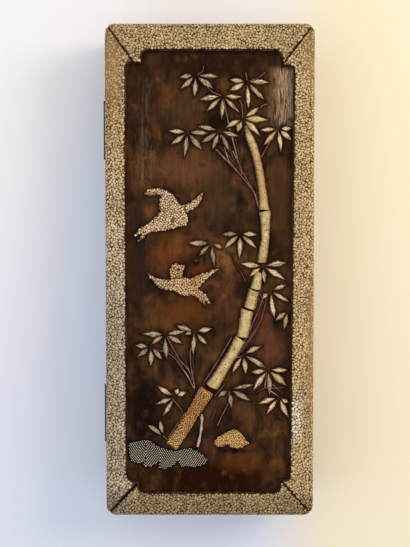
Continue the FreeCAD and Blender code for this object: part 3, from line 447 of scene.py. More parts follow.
def bone_finish():
    """Smooth yellowish bone with short rows of dark pores and faint long grain."""
    f = Finish("bone", 0.4, Specular_IOR_Level=0.15)
    grain = f.noise(2.2, 4.0)
    pores = f.spread(f.cells(1.1, (1, 1.4, 1)), 0.14, 0.3, 1.0, 0.0)
    few = f.maths("MAXIMUM", f.times(pores, f.spread(f.noise(3.4), 0.33, 0.46)),
                  f.times(pores, f.near(*PITTED_BONE)))
    colour = f.ramp(grain, (0.25, (162, 132, 80)), (0.5, (200, 174, 116)), (0.8, (230, 208, 150)))
    for centre, radii, tint in BROWNED_BONE:
        colour = f.patch(colour, centre, radii, tint, 0.6)
    for mark in RING_MARKS:
        ring = f.within(*((at - half, at + half) for at, half in zip(mark, RING_HALF)), 0.3, 0.5)
        colour = f.blend(f.times(ring, 0.5), colour, (112, 74, 42))
    colour = f.blend(few, colour, (66, 42, 24))
    # Browner low on the rounded flanks: partly stain, partly painted shade.
    low = f.spread(f.attribute("rise"), 0.45, 1.0, 1.0, 0.0)
    mottle = f.spread(f.noise(0.9, 3.0), 0.35, 0.65, 0.5, 1.0)
    colour = f.blend(f.times(low, mottle), colour, (86, 50, 26))
    return f.finish(colour, f.spread(grain, 0.3, 0.7, 0.32, 0.5), grain, 0.05)


# Sprays painted darker, partly darkened shell and partly painted shade, and sprays painted brighter where
# they catch the light: a patch each, and how bright.
LEAF_PAINTED_LIGHT = (((-22, -34), (28, 18), 0.7), ((12, -62), (13, 13), 0.54),
              ((-20, -70), (14, 16), 0.76), ((4, 12), (14, 14), 0.64),
              ((-8, 90), (14, 12), 0.74), ((2, 66), (14, 12), 0.72),
              ((36, -60), (12, 26), 1.14), ((26, 74), (16, 20), 1.12))


def leaf_finish():
    """Carved shell: pale crests and dark flanks, partly painted light and shade, dark streaks along each leaf
    and rows of small pits down its middle.
    """
    f = Finish("leaf_shell", 0.36, Specular_IOR_Level=0.15)
    grain = f.attribute("grain", "Vector")
    tone = f.attribute("leaf_tone")
    # Pale on the crest, dark on the flanks and in the midrib: partly the shell's colour, partly painted light
    # and shade.
    colour = f.ramp(f.attribute("crest"), (0.1, (58, 35, 20)), (0.42, (112, 80, 50)),
                    (0.66, (196, 166, 124)), (0.95, (246, 222, 176)))
    place = f.vector("MULTIPLY", grain, (0.28, 2.4, 1.0))
    streaks = f.step("ShaderNodeTexNoise", {"Vector": place, "Scale": 1.0, "Detail": 3.0}, "Fac")
    colour = f.blend(f.spread(streaks, 0.48, 0.64, 0.0, 0.8), colour, (102, 70, 44))
    place = f.vector("MULTIPLY", grain, (0.85, 1.25, 1.0))
    spots = f.step("ShaderNodeTexVoronoi", {"Vector": place, "Scale": 1.0}, "Distance")
    side = f.maths("ABSOLUTE", f.step("ShaderNodeSeparateXYZ", {0: grain}, "Y"))
    pits = f.times(f.spread(spots, 0.18, 0.38, 1.0, 0.0), f.spread(side, 0.5, 1.0, 1.0, 0.0))
    colour = f.blend(f.times(pits, 0.85), colour, (58, 36, 22))
    colour = f.blend(f.spread(tone, 0.72, 1.0, 0.0, 0.55), colour, (150, 118, 66))
    shade = f.spread(tone, 0.0, 0.5, 0.68, 1.06)
    # Painted light and shade over whole sprays.
    for centre, radii, bright in LEAF_PAINTED_LIGHT:
        shade = f.times(shade, f.spread(f.near(centre, radii), 0.0, 0.6, 1.0, bright))
    return f.finish(f.toned(colour, shade), None, pits, -0.06)


# Where the twigs are pale along their tops, partly rubbed and partly a painted highlight, a patch and a share
# each, and where they have gone dark.
RUBBED_AND_LIT_TWIGS = (((6, 64), (13, 20), 0.85), ((22, 30), (12, 14), 0.6),
              ((-10.6, -53), (5, 9), 1), ((12, -36), (5, 8), 0.7),
              ((30, -58), (10, 6), 0.9))
DARK_TWIGS = ((11, 3), (10, 14))


def twig_finish():
    """Red-brown lacquered twigs, dark at their feet with painted shade, and pale in places along their tops,
    partly rubbed and partly a painted highlight.
    """
    f = Finish("twig_lacquer", 0.5, Specular_IOR_Level=0.06)
    rise = f.attribute("rise")
    # Darker low down and lighter on top: painted shade and light by height.
    colour = f.ramp(rise, (0.35, (34, 16, 11)), (0.75, (80, 40, 28)), (1.0, (108, 58, 42)))
    pale = 0.2
    for centre, radii, share in RUBBED_AND_LIT_TWIGS:
        pale = f.maths("MAXIMUM", pale, f.times(f.near(centre, radii), share))
    pale_tops = f.times(f.spread(f.noise(4.0, 3.0), 0.36, 0.6, 0.3, 1.0), pale)
    colour = f.blend(f.times(f.spread(rise, 0.66, 0.98), pale_tops), colour, (196, 162, 142))
    return f.finish(f.patch(colour, *DARK_TWIGS, (34, 19, 12), 0.85))


# Finishes with one grain: dark and pale colour, size of the grain and its stretch along Y, least and most
# roughness, and depth of the relief.
PLAIN_FINISHES = {
    "sparrow_skin_ground": ((88, 56, 34), (136, 98, 64), 0.6, 1, (0.4, 0.6), 0.04),
    "golden_skin_ground": ((92, 58, 26), (132, 90, 46), 0.5, 1, (0.4, 0.6), 0.04),
    "rock_ground": ((13, 11, 9), (38, 33, 28), 0.8, 1, (0.3, 0.5), 0.04),
    "shoot_shell": ((150, 126, 100), (206, 186, 156), 0.9, 1, (0.3, 0.5), 0.05),
    "wood": ((116, 84, 52), (150, 112, 72), 1.2, 14, (0.5, 0.7), 0.05),
    "black_lacquer": ((20, 15, 13), (40, 28, 22), 8.0, 2, (0.14, 0.3), 0.02),
    "seam_filler": ((24, 14, 8), (58, 38, 22), 0.8, 1, (0.6, 0.7), 0.03),
    "inkstone": ((60, 62, 66), (90, 92, 96), 3.0, 1, (0.5, 0.75), 0.04),
    "glaze": ((206, 214, 208), (226, 230, 222), 6.0, 1, (0.08, 0.16), 0.02),
    "ink": ((18, 18, 20), (34, 33, 34), 1.5, 1, (0.35, 0.6), 0.03),
    "bamboo_handle": ((168, 130, 74), (202, 166, 104), 0.5, 24, (0.28, 0.42), 0.03),
    "horn": ((28, 20, 15), (70, 50, 34), 1.6, 3, (0.16, 0.3), 0.02),
    "hair": ((168, 148, 116), (232, 220, 196), 0.3, 40, (0.5, 0.7), 0.04),
    "panel_stud": ((30, 28, 20), (92, 88, 68), 0.4, 1, (0.2, 0.35), 0.02),
    "black_iron": ((22, 23, 26), (48, 49, 52), 0.9, 1, (0.34, 0.55), 0.04),
}
MATTE = ("sparrow_skin_ground", "golden_skin_ground", "rock_ground", "seam_filler", "panel_stud")
METALLIC = {"black_iron": 0.85}
PALE_STOP = {"black_lacquer": 0.75}  # where the pale colour is reached, if not at 0.7


def plain_finish(name, dark, pale, size, stretch, roughness, depth):
    """A finish by its row in the table above."""
    f = Finish(name, roughness[0], Specular_IOR_Level=0.06 if name in MATTE else 0.5,
               Metallic=METALLIC.get(name, 0.0))
    grain = f.noise(size, 4.0, (1, stretch, 1))
    colour = f.ramp(grain, (0.3, dark), (PALE_STOP.get(name, 0.7), pale))
    return f.finish(colour, f.spread(grain, 0.3, 0.7, *roughness), grain, depth)


def make_finishes():
    """Every finish by name."""
    return {
        "ray_skin": granule_finish("ray_skin_granules", RAY_SKIN_COLOURS, aged=True),
        "ray_skin_ground": skin_ground_finish(),
        "sparrow_skin": granule_finish("sparrow_granules", SPARROW_COLOURS, tints=SPARROW_TINTS),
        "golden_skin": granule_finish("golden_granules", GOLDEN_COLOURS, tints=GOLDEN_TINTS),
        "rock_grey": granule_finish("rock_granules", ROCK_COLOURS),
        "panel_lacquer": lacquer_finish(),
        "bone": bone_finish(),
        "leaf_shell": leaf_finish(),
        "rail_wood": rail_finish(),
        "lip_lacquer": lip_finish(),
        "twig_lacquer": twig_finish(),
        **{name: plain_finish(name, *row) for name, row in PLAIN_FINISHES.items()},
    }


# ---- mesh helpers
WELD = 0.002  # corners nearer than this are one


def new_piece(name, mesh):
    piece = bpy.data.objects.new(name, mesh)
    bpy.context.scene.collection.objects.link(piece)
    return piece


def merged(node):
    """A closed copy of a CAD node."""
    whole = bmesh.new()
    whole.from_mesh(NODES[node].data)
    bmesh.ops.remove_doubles(whole, verts=whole.verts, dist=WELD * MM)
    return whole


def to_mesh(whole, name, smooth=True):
    mesh = bpy.data.meshes.new(name)
    whole.to_mesh(mesh)
    whole.free()
    for polygon in mesh.polygons:
        polygon.use_smooth = smooth
    return mesh


def turns(count):
    """Equal turns round a circle."""
    return [math.tau * index / count for index in range(count)]


def corner(whole, place, height):
    """A corner at a place in plan and a height, in millimetres."""
    return whole.verts.new(Vector((place.x, place.y, height)) * MM)


def join_rings(whole, rings):
    """Join rings of corners with faces all the way round."""
    for low, high in zip(rings, rings[1:]):
        for index in range(len(low)):
            after = (index + 1) % len(low)
            whole.faces.new((low[index], low[after], high[after], high[index]))


def tube(whole, rings):
    """Join rings of corners and close the first and the last."""
    join_rings(whole, rings)
    whole.faces.new(rings[0][::-1])
    whole.faces.new(rings[-1])


def keep(piece, name, values):
    """Keep a number at every corner of a piece."""
    piece.data.attributes.new(name, "FLOAT", "POINT").data.foreach_set("value", values)


def baked(piece, name):
    """The piece with its modifiers turned into a plain mesh."""
    bpy.context.view_layer.update()
    evaluated = piece.evaluated_get(bpy.context.evaluated_depsgraph_get())
    mesh = bpy.data.meshes.new_from_object(evaluated)
    mesh.name = name
    bpy.data.objects.remove(piece)
    return new_piece(name, mesh)


def settle(piece, body, slot, finish, *replaced):
    """Give a finished piece its material and its body, and hide what it replaces; its slot is not used."""
    piece.data.materials.clear()
    piece.data.materials.append(finish)
    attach(piece, body)
    if replaced:
        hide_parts(*replaced)
    return piece


# ---- granules
def grow(tree, mesh, name, values, body, finish, slot, *replaced):
    """Run a tree on a mesh with the finish of a slot, and settle the plain piece that it makes."""
    helper = new_piece(name + "_source", mesh)
    modifier = helper.modifiers.new("tree", "NODES")
    modifier.node_group = tree
    values = {**values, "Finish": finish[slot]}
    for item in tree.interface.items_tree:
        if item.in_out == "INPUT" and item.name in values:
            modifier[item.identifier] = values[item.name]
    return settle(baked(helper, name), body, slot, finish[slot], *replaced)


TRIED_POINTS = 14.0  # tried over a square of the spacing before the close ones go
GRANULE_SIZES = (0.86, 1.1)


class Strewing(Graph):
    """A Geometry Nodes tree that stands small shapes on a surface. Its inputs come with their kinds."""

    def __init__(self, name, **inputs):
        super().__init__(bpy.data.node_groups.new(name, "GeometryNodeTree"))
        sockets = self.tree.interface
        for label, kind in {"Geometry": "Geometry", **inputs}.items():
            sockets.new_socket(label, in_out="INPUT", socket_type="NodeSocket" + kind)
        sockets.new_socket("Geometry", in_out="OUTPUT", socket_type="NodeSocketGeometry")
        self.given = self.node("NodeGroupInput").outputs

    def scatter(self, skin, spacing):
        """Points and their facing, no closer than the spacing."""
        density = self.maths("DIVIDE", TRIED_POINTS, self.times(spacing, spacing))
        settings = {"Mesh": skin, "Distance Min": spacing, "Density Max": density, "Seed": self.given["Seed"]}
        made = self.node("GeometryNodeDistributePointsOnFaces", settings, distribute_method="POISSON")
        return made.outputs["Points"], made.outputs["Rotation"]

    def thinned(self, points, value, least):
        """The points without those whose value is below the least."""
        low = self.step("FunctionNodeCompare", {0: value, 1: least}, data_type="FLOAT", operation="LESS_THAN")
        return self.step("GeometryNodeDeleteGeometry", {"Geometry": points, "Selection": low}, domain="POINT")

    def chance(self, low, high, seed):
        return self.step("FunctionNodeRandomValue", {2: low, 3: high, "Seed": seed}, 1, data_type="FLOAT")

    def distance(self, target, element):
        return self.step("GeometryNodeProximity", {0: target}, "Distance", target_element=element)

    def open_edges(self, skin):
        faces = self.step("GeometryNodeInputMeshEdgeNeighbors", output="Face Count")
        rim = self.step("FunctionNodeCompare", {2: faces, 3: 1}, data_type="INT", operation="EQUAL")
        chosen = {"Geometry": skin, "Selection": rim}
        return self.step("GeometryNodeSeparateGeometry", chosen, "Selection", domain="EDGE")

    def stand(self, points, label, scale, **facing):
        """The shape given under a label, on every point."""
        shape = self.step("GeometryNodeObjectInfo", {"Object": self.given[label]}, "Geometry")
        return self.step("GeometryNodeInstanceOnPoints",
                         {"Points": points, "Instance": shape, "Scale": scale, **facing})

    def toned(self, shapes, low, high, seed):
        """A tone drawn for every shape and kept with it."""
        tone = {"Geometry": shapes, "Name": "tone", "Value": self.chance(low, high, seed)}
        return self.step("GeometryNodeStoreNamedAttribute", tone, data_type="FLOAT", domain="INSTANCE")

    def granules(self, points, facing, label, wide, tall, tones):
        """A nodule on every point, sized at random, each with a tone."""
        seed = self.given["Seed"]
        size = self.chance(*GRANULE_SIZES, seed)
        wide = self.times(wide, size)
        scale = self.xyz(X=wide, Y=wide, Z=self.times(tall, size))
        return self.toned(self.stand(points, label, scale, Rotation=facing), *tones, seed)

    def joined(self, *parts):
        made = self.node("GeometryNodeJoinGeometry")
        for part in parts:
            self.tree.links.new(part, made.inputs[0])
        return made.outputs[0]

    def result(self, shapes):
        """Make the shapes real, give them their material and return the tree."""
        real = self.step("GeometryNodeRealizeInstances", {"Geometry": shapes})
        painted = self.step("GeometryNodeSetMaterial", {"Geometry": real, "Material": self.given["Finish"]})
        self.node("NodeGroupOutput", {"Geometry": painted})
        return self.tree


# The small granules between the large ones, as shares of the large ones' measures.
FILLING = {"spacing": 0.62, "margin": 0.5, "clearance": 0.6, "radius": 0.66, "height": 0.8}
LARGE_TONES = (0, 1)
SMALL_TONES = (0, 0.8)
WORN_THINNING = 0.3  # the share of large granules rubbed away in the middle of a worn patch
WORN_SEED = 7


def granule_tree():
    """Nodules packed over a skin with small ones between them, clear of its open edges."""
    g = Strewing("granules", Spacing="Float", Radius="Float", Height="Float", Margin="Float", Seed="Int",
                 Nodule="Object", Grain="Object", Finish="Material")
    skin, spacing, radius, height, margin = g.given[:5]
    edge_distance = g.distance(g.open_edges(skin), "EDGES")
    large, large_facing = g.scatter(skin, spacing)
    large = g.thinned(large, edge_distance, margin)
    small, small_facing = g.scatter(skin, g.times(spacing, FILLING["spacing"]))
    small = g.thinned(small, edge_distance, g.times(margin, FILLING["margin"]))
    small = g.thinned(small, g.distance(large, "POINTS"), g.times(spacing, FILLING["clearance"]))
    here = g.step("GeometryNodeInputPosition")
    worn = 0.0
    for (x, y), (reach_x, reach_y) in WORN_PATCHES:
        offset = g.vector("SUBTRACT", here, (x * MM, y * MM, 0))
        share = g.vector("LENGTH", g.vector("DIVIDE", offset, (reach_x * MM, reach_y * MM, 1)))
        worn = g.maths("MAXIMUM", worn, g.spread(share, PATCH_CORE, 1.0, WORN_THINNING, 0.0))
    large = g.thinned(large, g.chance(0.0, 1.0, WORN_SEED), worn)
    large = g.granules(large, large_facing, "Nodule", radius, height, LARGE_TONES)
    small = g.granules(small, small_facing, "Grain", g.times(radius, FILLING["radius"]),
                       g.times(height, FILLING["height"]), SMALL_TONES)
    return g.result(g.joined(small, large))


# Shapes of the granules: number of sides, and the radius of each ring from the foot up.
LARGE_NODULE = (6, (1, 0.86, 0.56))
SMALL_NODULE = (5, (1, 0.74))
ROCK_SCALE = (6, (1, 0.6))


def nodule(sides, rings):
    """One rounded nodule of radius and height 1, closed below, with its rise stored at every corner."""
    whole = bmesh.new()
    rise = whole.verts.layers.float.new("rise")
    loops = [[whole.verts.new((share * math.cos(turn), share * math.sin(turn), math.sqrt(1 - share ** 3)))
              for turn in turns(sides)] for share in rings]
    crown = whole.verts.new((0, 0, 1))
    for vertex in whole.verts:
        vertex[rise] = vertex.co.z
    whole.faces.new(loops[0][::-1])
    join_rings(whole, loops)
    for side, first in enumerate(loops[-1]):
        whole.faces.new((first, loops[-1][(side + 1) % sides], crown))
    piece = new_piece("nodule", to_mesh(whole, "nodule"))
    piece.hide_render = True
    return piece


CORNER_RADIUS = 4.6  # of the box's corners in plan
OUTSIDE_DEPTH = 0.6  # faces this near to the outside of the box belong to it
OUTSIDE_RADIUS = 4.2  # and at a corner those farther than this from its middle
LEAST_LEAN = 0.3  # a face shows if its normal leans up or out more than this


def outward_faces(whole):
    """Keep only the faces of a skin that show: those that look up or away from the box's middle."""
    hidden = []
    for face in whole.faces:
        centre = face.calc_center_median()
        out = face.normal.x * centre.x / BOX_HIGH.x + face.normal.y * centre.y / BOX_HIGH.y
        beyond = Vector((abs(centre.x) - BOX_HIGH.x, abs(centre.y) - BOX_HIGH.y)) / MM
        outside = max(beyond) > -OUTSIDE_DEPTH
        from_corner = beyond + Vector((CORNER_RADIUS, CORNER_RADIUS))
        if min(from_corner) > 0:
            outside = from_corner.length > OUTSIDE_RADIUS
        if face.normal.z <= LEAST_LEAN and not (outside and out > LEAST_LEAN):
            hidden.append(face)
    bmesh.ops.delete(whole, geom=hidden, context="FACES")
    return whole


# ---- brushes
GOLDEN_TURN = math.pi * (3 - math.sqrt(5))
BRISTLES = {"large_brush_tuft": 320, "small_brush_tuft": 220}
BRISTLE_THICKNESS = 0.22
BRISTLE_SEGMENTS = 9
BRISTLE_SIDES = 3
BRISTLE_TAPER = 0.5  # how much thinner its end is
BRISTLE_LENGTHS = (0.9, 1)
# Width of a tuft as a share: at its greatest, at the foot, what it gains towards the tip, how late it is
# drawn in there, and what is left of it.
TUFT_SWELL = 1.02
TUFT_FOOT = 0.82
TUFT_GAIN = 0.95
TUFT_FULLNESS = 1.8
TUFT_POINT = 0.05
CORE_SHARE = 0.9  # the filling inside the bristles, as a share of the tuft's thickness


def bristle():
    """One straight bristle, one unit long, standing along Y."""
    whole = bmesh.new()
    rings = []
    for step in range(BRISTLE_SEGMENTS + 1):
        share = step / BRISTLE_SEGMENTS
        radius = BRISTLE_THICKNESS * MM * (1 - BRISTLE_TAPER * share)
        rings.append([whole.verts.new((radius * math.cos(turn), share, radius * math.sin(turn)))
                      for turn in turns(BRISTLE_SIDES)[::-1]])
    tube(whole, rings)
    return new_piece("bristle", to_mesh(whole, "bristle"))


def bristle_tree():
    """Bristles set in even rings, swelling a little and then drawn in to a point."""
    g = Strewing("bristles", Radius="Float", Length="Float", Count="Int", Foot="Vector", Seed="Int",
                 Strand="Object", Finish="Material")
    core, radius, length, count, foot, seed = g.given[:6]
    index = g.step("GeometryNodeInputIndex")
    turn = g.times(index, GOLDEN_TURN)
    out = g.times(radius, g.maths("SQRT", g.maths("DIVIDE", index, count)))
    place = g.xyz(X=g.times(out, g.maths("COSINE", turn)), Z=g.times(out, g.maths("SINE", turn)))
    points = g.step("GeometryNodePoints", {"Count": count, "Position": place})
    reach = g.times(length, g.chance(*BRISTLE_LENGTHS, seed))
    stood = g.stand(points, "Strand", g.xyz(X=1.0, Y=reach, Z=1.0))
    real = g.step("GeometryNodeRealizeInstances", {"Geometry": stood})
    here = g.step("GeometryNodeInputPosition")
    share = g.maths("DIVIDE", g.step("ShaderNodeSeparateXYZ", {0: here}, "Y"), length)
    swell = g.maths("ADD", TUFT_FOOT, g.times(share, TUFT_GAIN))
    taper = g.maths("SUBTRACT", 1.0, g.maths("POWER", share, TUFT_FULLNESS))
    width = g.maths("ADD", TUFT_POINT, g.times(swell, taper))
    drawn_in = g.vector("MULTIPLY", here, g.xyz(X=width, Y=1.0, Z=width))
    moved = {"Geometry": real, "Position": g.vector("ADD", drawn_in, foot)}
    placed = g.step("GeometryNodeSetPosition", moved)
    return g.result(g.joined(core, placed))


def make_tufts(finish):
    """Hair tufts of the two brushes, over a filling that keeps them from showing through."""
    tree = bristle_tree()
    strand = bristle()
    for seed, (node, count) in enumerate(BRISTLES.items()):
        low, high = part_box(node)
        middle = (low + high) / 2
        radius = (high.x - low.x) / 2 / TUFT_SWELL
        whole = merged(node)
        for vertex in whole.verts:
            vertex.co.x = middle.x + (vertex.co.x - middle.x) * CORE_SHARE
            vertex.co.z = middle.z + (vertex.co.z - middle.z) * CORE_SHARE
        values = {"Radius": radius - BRISTLE_THICKNESS * MM / 2, "Length": high.y - low.y, "Count": count,
                  "Foot": (middle.x, low.y, middle.z), "Seed": seed, "Strand": strand}
        name = node.replace("tuft", "bristles")
        grow(tree, to_mesh(whole, name), name, values, "base", finish, "hair", node)
    bpy.data.objects.remove(strand)


# ---- the scene round the box
def make_camera():
    data = bpy.data.cameras.new("camera")
    data.sensor_fit = "HORIZONTAL"
    data.sensor_width = SENSOR_WIDTH
    data.lens = FOCAL_PIXELS / IMAGE_WIDTH * SENSOR_WIDTH
    data.clip_start = CAMERA_NEAREST
    camera = new_piece("camera", data)
    camera.location = CAMERA_PLACE
    camera.rotation_euler = (CAMERA_TILT, 0, 0)
    bpy.context.scene.camera = camera


def make_light():
    for name, colour, power, place, size in LAMPS:
        data = bpy.data.lights.new(name, "AREA")
        data.shape = "DISK"
        data.size = size
        data.energy = power
        data.color = srgb(colour)[:3]
        lamp = new_piece(name, data)
        lamp.location = place
        lamp.rotation_euler = (-place).to_track_quat("-Z", "Y").to_euler()
    world = bpy.data.worlds.new("room")
    world.use_nodes = True
    sky = world.node_tree.nodes["Background"]
    sky.inputs["Color"].default_value = srgb(WORLD_COLOUR)
    sky.inputs["Strength"].default_value = WORLD_STRENGTH
    bpy.context.scene.world = world
    bpy.context.scene.view_settings.view_transform = "Standard"


# As shares of the box's half length and half width: the reach of the change from the foot's colour to the
# head's, a painted falloff of the light, the middle and reach of the cool stretch of painted shade, and where
# the painted warm lamplight starts, is full and has its middle.
FLOOR_CHANGE = 1.2
COOL_STRETCH = (-1.1, 0.6)
WARM_STRETCH = (0.4, 1.35, 2)
COOL_STRENGTH = 0.8
WARM_STRENGTH = 0.85


def make_floor():
    whole = bmesh.new()
    bmesh.ops.create_grid(whole, x_segments=1, y_segments=1, size=FLOOR_SIZE / 2)
    piece = new_piece("floor", to_mesh(whole, "floor", False))
    f = Finish("paper_floor", 0.9)
    half_width, half_length, _ = BOX_HIGH / MM
    reach = half_length * FLOOR_CHANGE
    # A painted falloff of the light from the head to the foot.
    colour = f.blend(f.spread(f.along("Y"), -reach, reach), FLOOR_NEAR, FLOOR_FAR)
    middle, cool_reach = (share * half_width for share in COOL_STRETCH)
    # Painted cool shade along the hinge side.
    colour = f.patch(colour, (middle, 0.0), (cool_reach, reach), FLOOR_PAINTED_SHADE, COOL_STRENGTH)
    start, full, middle = (share * half_width for share in WARM_STRETCH)
    # Painted warm lamplight beyond the open side.
    warm = f.times(f.spread(f.along("X"), start, full, 0.0, WARM_STRENGTH),
                   f.near((middle, 0.0), PAINTED_LAMPLIGHT_REACH))
    piece.data.materials.append(f.finish(f.blend(warm, colour, FLOOR_PAINTED_LAMPLIGHT)))
    piece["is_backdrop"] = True


# ---- ray skin
BORDER_GRANULE = {"Spacing": 1.22 * MM, "Radius": 0.8 * MM, "Height": 0.28 * MM}
MARGINS = {"lid": 0.35, "base": 0.15}  # bare strip along the edges of a skin
SKIN_SEED = 3


def make_skins(finish, tree, shapes):
    """Granules over the lid's border and the sides of lid and base, one piece for each length of skin."""
    for body, margin in MARGINS.items():
        for seed, side in enumerate(SIDES, SKIN_SEED):
            name = f"{body}_granules_{side}"
            mesh = to_mesh(outward_faces(merged(f"{body}_skin_{side}")), name)
            values = {**BORDER_GRANULE, **shapes, "Margin": margin * MM, "Seed": seed}
            grow(tree, mesh, name, values, body, finish, "ray_skin")


# Where each seam of the border meets the panel's opening, by the signs of x and y, and half its width.
SEAM_ENDS = {(-1, 1): (-36.5, 100.8, 0.4), (1, 1): (34.6, 99.3, 0.4), (-1, -1): (-34.9, -103.3, 0.65),
             (1, -1): (34.45, -101.95, 0.4)}
SEAM_DEPTH = 0.2  # the filler lies this far below the skin
FILLER_LENGTH = 7.0
FILLER_FALL = 0.4  # and its inner end this much lower
FILLER_OVERLAP = 0.1  # into the skin on both sides of a seam
TOP_ROUNDING = 2.4
ROUNDING_STEPS = 5


def make_seam_filler(finish):
    """Dark filler in the seams at the outer corners, rounded over like the skin beside it."""
    whole = bmesh.new()
    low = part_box("lid_skin_head")[0].z / MM
    top = BOX_HIGH.z / MM - SEAM_DEPTH
    curve = TOP_ROUNDING - SEAM_DEPTH
    profile = [(FILLER_LENGTH, low), (SEAM_DEPTH, low)]
    for step in range(ROUNDING_STEPS + 1):
        angle = math.pi / 2 * step / ROUNDING_STEPS
        profile.append((TOP_ROUNDING - curve * math.cos(angle), top - curve * (1 - math.sin(angle))))
    profile.append((FILLER_LENGTH, top - FILLER_FALL))
    set_back = CORNER_RADIUS * (1 - math.sqrt(0.5))
    for (x_sign, y_sign), (inner_x, inner_y, half) in SEAM_ENDS.items():
        outer = Vector((x_sign * (BOX_HIGH.x / MM - set_back), y_sign * (BOX_HIGH.y / MM - set_back)))
        run = (Vector((inner_x, inner_y)) - outer).normalized()
        across = Vector((-run.y, run.x)) * (half + FILLER_OVERLAP)
        tube(whole, [[corner(whole, outer + run * inward + across * side, height)
                      for inward, height in profile] for side in (-1, 1)])
    bmesh.ops.recalc_face_normals(whole, faces=whole.faces)
    piece = new_piece("seam_filler", to_mesh(whole, "seam_filler", False))
    settle(piece, "lid", "wood", finish["seam_filler"])


# ---- relief inlay
INLAY_SET = 0.2  # the inlay is let this far into the lacquer
FOOT_BAND = 0.12  # what stands less than this over the lacquer is an inlay's foot
STEEPEST = 0.25  # the faces that carry granules look up at least this much
# Lines cut into the sparrows between wing, body and tail, in millimetres.
FEATHER_LINES = {
    "upper_sparrow": (((-12.6, 31.6), (-11.6, 28.6)), ((-17.6, 27.2), (-18.4, 23.6)),
                      ((-30.8, 37.4), (-25.8, 37.6)), ((-34.6, 14.2), (-29.6, 17.6))),
    "lower_sparrow": (((-13.6, -2.4), (-9.2, -3.6)), ((-20.0, -4.2), (-17.4, -3.2), (-14.4, -2.8))),
}
LINE_DEPTH = 0.35
LINE_WIDTH = 0.25
LINE_CLEARANCE = 0.3  # no granule stands nearer to a line
FAR = 9.0  # farther from a line than its cut reaches


def rounded_copy(node, name, voxel, smoothing):
    """A finely meshed copy of a node with its facets rounded off and its foot let into the lacquer."""
    piece = new_piece(name, to_mesh(merged(node), name))
    remesh = piece.modifiers.new("remesh", "REMESH")
    remesh.mode = "VOXEL"
    remesh.voxel_size = voxel * MM
    smooth = piece.modifiers.new("smooth", "SMOOTH")
    smooth.factor = 0.5
    smooth.iterations = smoothing
    piece = baked(piece, name)
    for vertex in piece.data.vertices:
        if vertex.co.z < PANEL_TOP + FOOT_BAND * MM:
            vertex.co.z = PANEL_TOP - INLAY_SET * MM
    for polygon in piece.data.polygons:
        polygon.use_smooth = True
    return piece


def carve(piece, rise_at):
    """Push the upper surface out or in, by rise_at(place in millimetres) in millimetres."""
    moves = [(vertex, vertex.normal * rise_at(vertex.co / MM) * MM)
             for vertex in piece.data.vertices if vertex.co.z > PANEL_TOP]
    for vertex, move in moves:
        vertex.co += move
    piece.data.update()


def away_from(lines, at):
    """How far a place in plan is from the nearest of some bent lines."""
    place = Vector((at.x, at.y))
    least = FAR
    for line in lines:
        for start, end in zip(line, line[1:]):
            start, end = Vector(start), Vector(end)
            run = end - start
            share = min(max((place - start).dot(run) / run.length_squared, 0), 1)
            least = min(least, (place - start - run * share).length)
    return least


def upper_skin(piece, lines):
    """A mesh of only the upper faces of a relief piece, parted along the given lines."""
    whole = bmesh.new()
    whole.from_mesh(piece.data)
    hidden = []
    for face in whole.faces:
        centre = face.calc_center_median() / MM
        low = centre.z < PANEL_TOP / MM + FOOT_BAND
        if face.normal.z < STEEPEST or low or away_from(lines, centre) < LINE_CLEARANCE:
            hidden.append(face)
    bmesh.ops.delete(whole, geom=hidden, context="FACES")
    return to_mesh(whole, piece.name + "_skin")


# Granular pieces: slot, and the spacing, radius and height of their granules.
GRANULAR = {
    "upper_sparrow": ("sparrow_skin", 1.05, 0.64, 0.3),
    "lower_sparrow": ("sparrow_skin", 1.05, 0.64, 0.3),
    "mound": ("golden_skin", 0.86, 0.51, 0.22),
    "culm_foot": ("golden_skin", 1.0, 0.6, 0.26),
}
INLAY_MARGIN = 0.2
INLAY_SEED = 11
INLAY_VOXEL = 0.2  # how finely a rounded copy is meshed


def make_granular_inlay(finish, tree, shapes):
    """Sparrows, mound and culm foot: a ground of skin with its granules on top."""
    grounds = []
    for seed, (node, (slot, spacing, radius, height)) in enumerate(GRANULAR.items(), INLAY_SEED):
        lines = FEATHER_LINES.get(node, ())
        ground = rounded_copy(node, node + "_ground", INLAY_VOXEL, 3)
        carve(ground, lambda at: -LINE_DEPTH * math.exp(-(away_from(lines, at) / LINE_WIDTH) ** 2))
        if node == "culm_foot":
            lengthened(ground, FOOT_GROWTH)
        values = {"Spacing": spacing * MM, "Radius": radius * MM, "Height": height * MM,
                  "Margin": INLAY_MARGIN * MM, "Seed": seed, **shapes}
        grow(tree, upper_skin(ground, lines), node + "_granules", values, "lid", finish, slot)
        grounds.append(settle(ground, "lid", slot, finish[slot + "_ground"], node))
    return grounds


def lengthened(piece, growth, bow=0.0, flare=0.0):
    """Push both ends of a long piece out so that only a thin joint stays open, bow them up and flare them."""
    vertices = sorted(piece.data.vertices, key=lambda vertex: vertex.co.y)
    low, high = vertices[0].co.xy, vertices[-1].co.xy
    middle = (low + high) / 2
    run = (high - low).normalized()
    half = (high - low).length / 2
    for vertex in piece.data.vertices:
        place = vertex.co.xy - middle
        share = place.dot(run) / half
        across = place - run * place.dot(run)
        dome = max(0.0, 1 - (across.length / (CULM_HALF_WIDTH * MM)) ** 2)
        near_end = abs(share) ** END_SHARPNESS
        vertex.co.xy += run * (share * growth + bow * near_end * dome) * MM + across * flare * near_end


def store_rise(piece, height):
    """Keep, at every corner, how high it stands over the lacquer as a share of the height in millimetres."""
    keep(piece, "rise", [(vertex.co.z - PANEL_TOP) / (height * MM) for vertex in piece.data.vertices])


